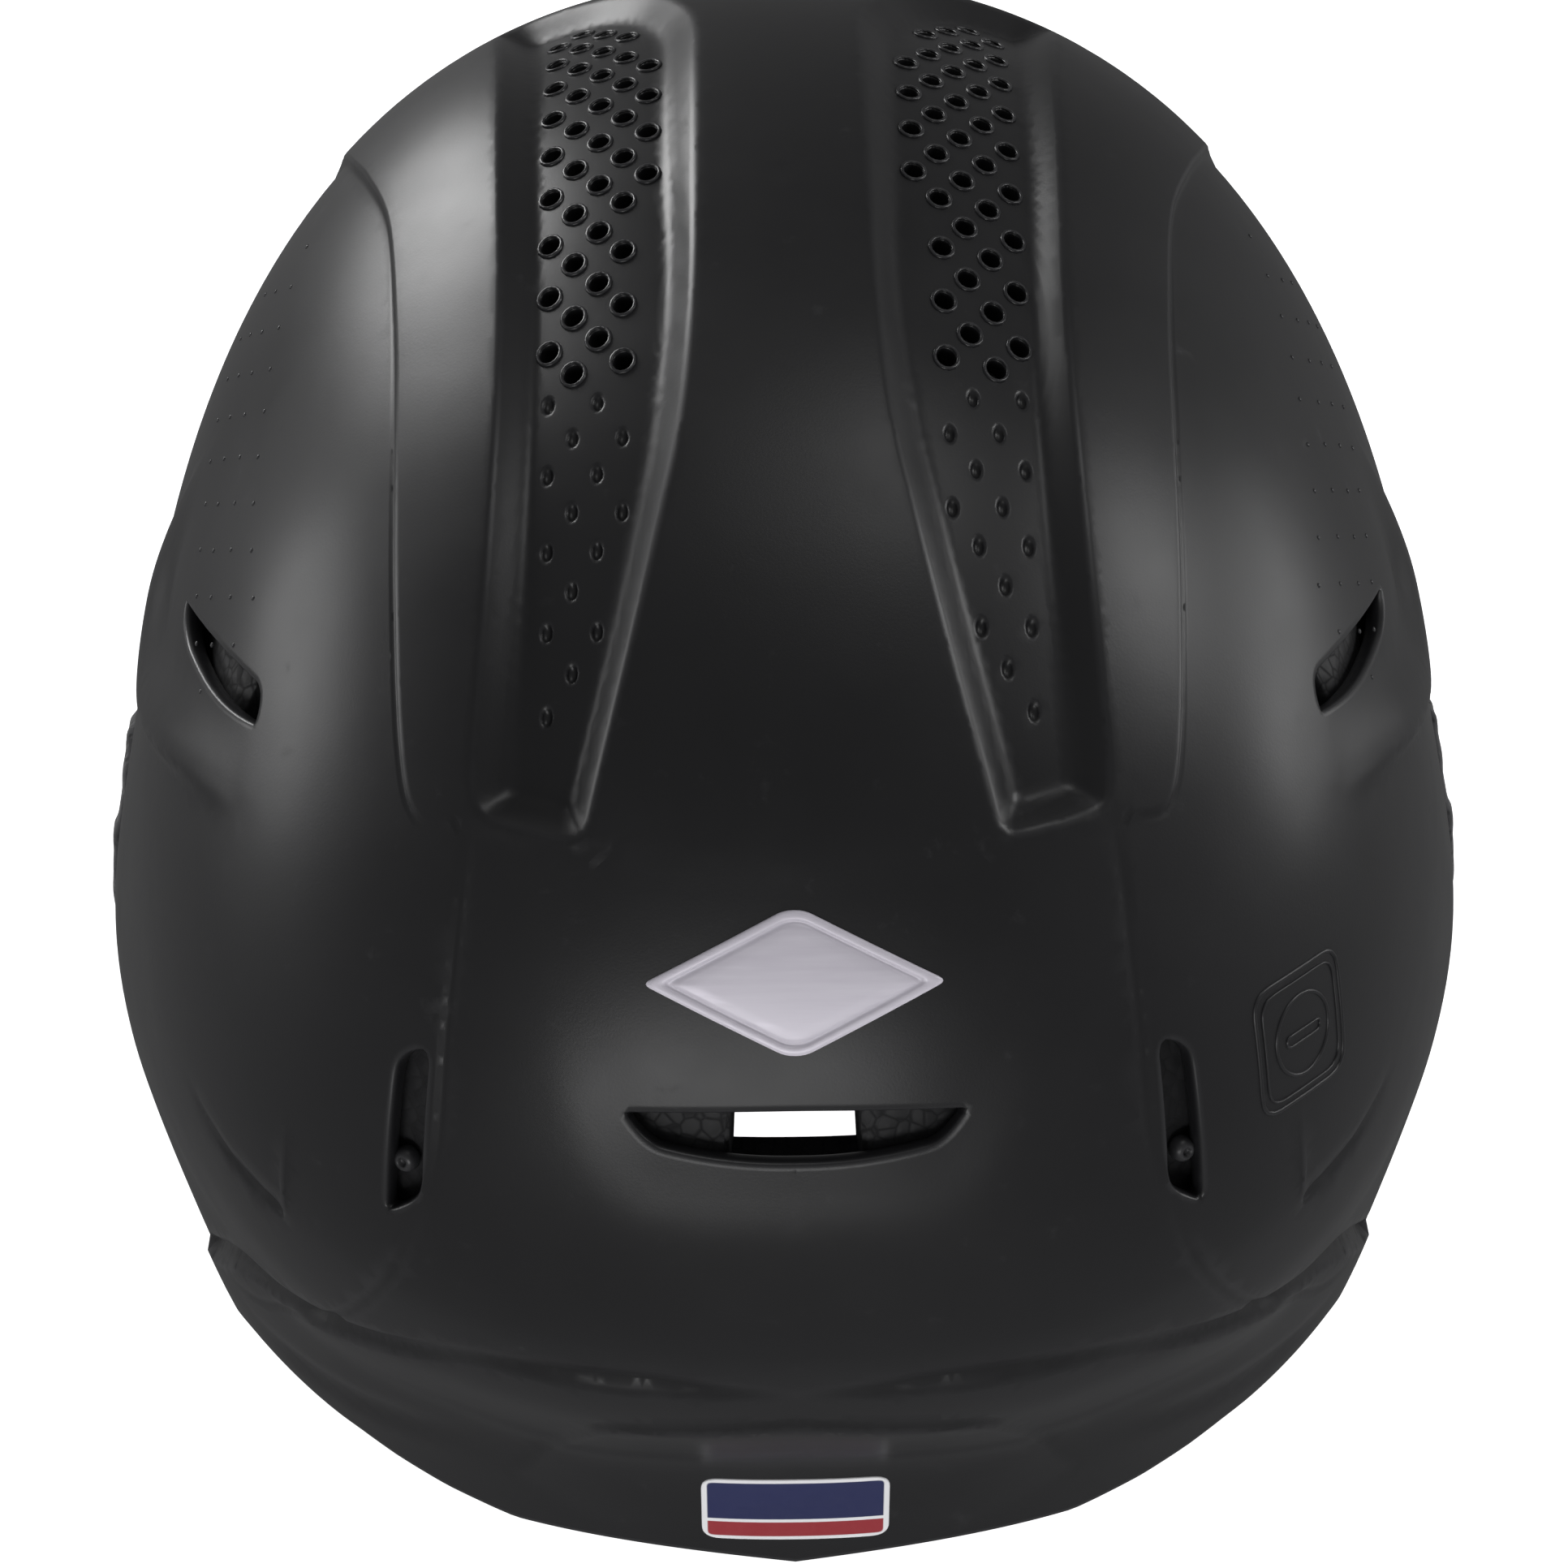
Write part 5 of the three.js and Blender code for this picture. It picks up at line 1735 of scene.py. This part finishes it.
def badge_satin():
    """Pale satin metal print: brushed along the diamond with a soft violet cast."""
    finish = Finish("pale_satin_badge", (0.7, 0.66, 0.74), 0.38)
    finish.set("Metallic", 0.1)
    place = finish.place()
    stretch = finish.nodes.new("ShaderNodeMapping")
    stretch.inputs["Scale"].default_value = (60, 900, 900)
    finish.link(place, stretch.inputs["Vector"])
    brushed = finish.noise(stretch.outputs[0], 1, 3)
    finish.feed("Base Color", finish.blend(brushed, (0.68, 0.64, 0.73), (0.82, 0.79, 0.87)))
    finish.feed("Roughness", finish.span(brushed, 0.3, 0.7, 0.3, 0.46))
    finish.bump(brushed, 0.12, 0.05)
    return finish.material


def printed_sticker():
    """Glossy vinyl: a pale border, a navy field over a red band, and a pale line between them."""
    finish = Finish("printed_sticker", (0.03, 0.035, 0.11), 0.32)
    across, up, _ = finish.split(finish.flat("print"))
    side = finish.math("SUBTRACT", LABEL_WIDTH * MM / 2, finish.math("ABSOLUTE", across))
    end = finish.math("SUBTRACT", LABEL_HEIGHT * MM / 2, finish.math("ABSOLUTE", up))
    inside = finish.span(finish.math("SMOOTH_MIN", side, end, 0.0016), 0.00085, 0.00105)
    above = finish.span(up, -0.00335, -0.00315)
    line = finish.span(finish.math("ABSOLUTE", finish.math("ADD", up, 0.00305)), 0.00035, 0.00048)
    mottle = finish.noise(finish.place(), 900, 2)
    navy = finish.blend(mottle, (0.016, 0.021, 0.085), (0.024, 0.03, 0.11))
    red = finish.blend(mottle, (0.30, 0.018, 0.028), (0.36, 0.026, 0.036))
    field = finish.blend(line, (0.8, 0.8, 0.82), finish.blend(above, red, navy))
    finish.feed("Base Color", finish.blend(inside, (0.8, 0.8, 0.82), field))
    finish.feed("Roughness", finish.span(mottle, 0.3, 0.7, 0.28, 0.4))
    finish.bump(finish.noise(finish.place(), 500, 2), 0.08, 0.05)
    return finish.material


def grey_thread():
    finish = Finish("grey_thread", (0.075, 0.076, 0.082), 0.75)
    twist = finish.noise(finish.place(), 2600, 2)
    finish.feed("Base Color", finish.blend(twist, (0.05, 0.05, 0.055), (0.11, 0.11, 0.12)))
    finish.feed("Roughness", finish.span(twist, 0.3, 0.7, 0.62, 0.85))
    finish.bump(twist, 0.4, 0.08)
    return finish.material


def mark_edges(piece):
    """Stores how sharply the surface turns outwards, for the polish on worn edges."""
    mesh = piece.data
    count = len(mesh.vertices)
    place, normal = np.zeros(count * 3), np.zeros(count * 3)
    mesh.vertices.foreach_get("co", place)
    mesh.vertices.foreach_get("normal", normal)
    place, normal = place.reshape(-1, 3), normal.reshape(-1, 3)
    pairs = np.zeros(len(mesh.edges) * 2, int)
    mesh.edges.foreach_get("vertices", pairs)
    pairs = pairs.reshape(-1, 2)
    turn, seen = np.zeros(count), np.zeros(count)
    for a, b in ((0, 1), (1, 0)):
        here, there = pairs[:, a], pairs[:, b]
        run = place[there] - place[here]
        length = np.maximum(np.linalg.norm(run, axis=1), 1e-7)
        np.add.at(turn, here, -(run * normal[here]).sum(1) / length)
        np.add.at(seen, here, 1)
    sharp = np.clip((turn / np.maximum(seen, 1) - 0.06) / 0.25, 0, 1)
    layer = mesh.attributes.new("edge_wear", "FLOAT", "POINT")
    layer.data.foreach_set("value", sharp.astype(np.float32))


# ---------------------------------------------------------------- the helmet

def make_shell(plastic):
    shell = mesh_object("helmet_shell", *shell_mesh())
    shell.data.materials.append(plastic)
    bill_and_seal = face_outwards(joined("bill_and_seal", [bill_part(), *seal_part()]))
    bill_and_seal.data.materials.append(plastic)
    merge_into(shell, bill_and_seal, perforation_rims(plastic), side_dots(plastic))
    mark_edges(shell)
    fix(shell, "outer_shell", plastic)


def make_liners(foam):
    side = WallArea(61, 114, 106, 168)
    pieces = [
        (liner("front_foam_liner", WallArea(-57, 57, 112, 160), LINER, (-0.62, 0, 0.62)), "front_liner"),
        (liner("crown_foam_liner", CrownArea(70, 84, -8), CROWN_LINER, (-0.55, 0.55), (-0.5, 0.1, 0.6)),
         "crown_liner"),
        (slab("rear_foam_liner", NotchedArea(118, 242, 62, 168), LINER_STEP,
              liner_section(LINER, (-0.78, 0.78), (-0.35, 0.3), 230, 108),
              (-0.0955, -0.0934, 0.0934, 0.0955))[0], "rear_liner"),
        (liner("side_foam_liner_left", side, LINER, (0,), (0.35,)), "side_liner_left"),
    ]
    pieces.append((mirrored_piece(pieces[-1][0], "side_foam_liner_right"), "side_liner_right"))
    for piece, node in pieces:
        fix(piece, node, foam)


def make_pads(fabric, thread, skin):
    sewn = [
        ("brow_knit_pad", WallArea(-44, 44, 114, 146), PAD, (-0.5, 0, 0.5), (), "brow_pad", ""),
        ("crown_knit_pad", CrownArea(34, 48, -4), CROWN_PAD, (0,), (-0.36, 0.36), "crown_pad", ""),
        ("rear_knit_pad", WallArea(138, 173.3, 76, 160), PAD, (), (-0.34, 0.3), "rear_pad", "left"),
        ("side_knit_pad", WallArea(68, 108, 112, 156), PAD, (0,), (), "side_pad", "left"),
    ]
    for name, area, layer, seams_u, seams_v, node, hand in sewn:
        ending = "_left" if hand else ""
        piece = sewn_pad(name + ending, area, layer, seams_u, seams_v, fabric, thread)
        pads = [(piece, node + ending)]
        if hand:
            pads.append((mirrored_piece(piece, name + "_right"), node + "_right"))
        for pad_piece, pad_node in pads:
            fix(pad_piece, pad_node)
    for node, name, voxel in (("ear_pad", "ear_foam_ring", 2.2), ("jaw_pad", "jaw_foam_pad", 2.0)):
        left = foam_ring(name + "_left", node + "_left", voxel, 3.0, skin)
        right = mirrored_piece(left, name + "_right")
        for piece, hand in ((left, "_left"), (right, "_right")):
            fix(piece, node + hand, skin)


def make_tabs(nylon):
    tabs = [
        ("brow_hook_plate", WallArea(-26, 26, 122, 138), TAB, "brow_hook_tab", False),
        ("crown_hook_plate", CrownArea(18, 24, -4), CROWN_TAB, "crown_hook_tab", False),
        ("rear_hook_plate", WallArea(149, 164, 100, 142), TAB, "rear_hook_tab", True),
        ("side_hook_plate", WallArea(80, 97, 124, 144), TAB, "side_hook_tab", True),
    ]
    for name, area, layer, node, paired in tabs:
        ending = "_left" if paired else ""
        piece = hook_tab(name + ending, area, layer, nylon)
        fix(piece, node + ending, nylon)
        if paired:
            fix(mirrored_piece(piece, name + "_right"), node + "_right", nylon)


def make_small_parts():
    pin = pin_plastic()
    fix(pin_piece("domed_pin_left", 1), "liner_pin_left", pin)
    fix(pin_piece("domed_pin_right", -1), "liner_pin_right", pin)
    fix(badge_piece(), "rear_badge", badge_satin())
    fix(label_piece(), "nape_label", printed_sticker())


# ---------------------------------------------------------------- camera, floor and light

VIEW_HEIGHT = 97.9
VIEW_LIFT, VIEW_TURN = math.radians(52), math.radians(0.9)
VIEW_DISTANCE = 0.8
VIEW_LENS = 106.85
FLOOR_GLOW, STUDIO_GLOW = 0.95, 0.16


def aimed(data, place, target):
    item = bpy.data.objects.new(data.name, data)
    bpy.context.scene.collection.objects.link(item)
    item.location = place
    item.rotation_mode = "QUATERNION"
    item.rotation_quaternion = (Vector(target) - Vector(place)).to_track_quat("-Z", "Y")
    return item


def add_camera():
    back = Vector((math.sin(VIEW_TURN) * math.cos(VIEW_LIFT), math.cos(VIEW_TURN) * math.cos(VIEW_LIFT),
                   math.sin(VIEW_LIFT)))
    lens = bpy.data.cameras.new("camera")
    lens.lens = VIEW_LENS
    lens.sensor_width = 36
    target = Vector((0, EAR_LINE_Y * MM, VIEW_HEIGHT * MM))
    bpy.context.scene.camera = aimed(lens, target + back * VIEW_DISTANCE, target)


def add_floor():
    bpy.ops.mesh.primitive_plane_add(size=8)
    floor = bpy.context.object
    floor.name = "floor"
    finish = Finish("pale_floor", (0.92, 0.92, 0.92), 0.9)
    finish.set("Emission Color", (1, 1, 1, 1))
    finish.set("Emission Strength", FLOOR_GLOW)
    floor.data.materials.append(finish.material)
    floor.visible_glossy = False


def add_light(name, azimuth, elevation, distance, size, power):
    """A softbox seen from the helmet at an azimuth from the front towards its left, and an elevation."""
    around, lift = math.radians(azimuth), math.radians(elevation)
    middle = Vector((0, 0.04, 0.12))
    place = middle + distance * Vector((math.sin(around) * math.cos(lift), -math.cos(around) * math.cos(lift),
                                        math.sin(lift)))
    data = bpy.data.lights.new(name, "AREA")
    data.shape = "RECTANGLE"
    data.size, data.size_y = size
    data.energy = power
    aimed(data, place, middle)


def add_studio():
    add_light("left_front_box", 36, 15, 1.3, (0.4, 0.6), 7)
    add_light("left_side_box", 72, 4, 1.5, (0.7, 0.5), 4)
    add_light("right_front_box", -76, 33, 1.5, (0.45, 0.5), 4.5)
    add_light("right_side_box", -72, 2, 1.6, (0.7, 0.4), 3.5)
    add_light("top_box", -42, 72, 1.5, (0.4, 0.4), 1.8)
    add_light("rear_box", 172, 16, 1.8, (1.0, 0.4), 7)
    world = bpy.data.worlds.new("studio")
    world.use_nodes = True
    backdrop = world.node_tree.nodes["Background"]
    backdrop.inputs["Color"].default_value = (1, 1, 1, 1)
    backdrop.inputs["Strength"].default_value = STUDIO_GLOW
    scene = bpy.context.scene
    scene.world = world
    scene.view_settings.view_transform = "Standard"


add_camera()
make_shell(satin_black_plastic())
make_liners(bead_foam())
make_pads(knit_fabric(), grey_thread(), pad_foam())
make_tabs(hook_nylon())
make_small_parts()
add_floor()
add_studio()
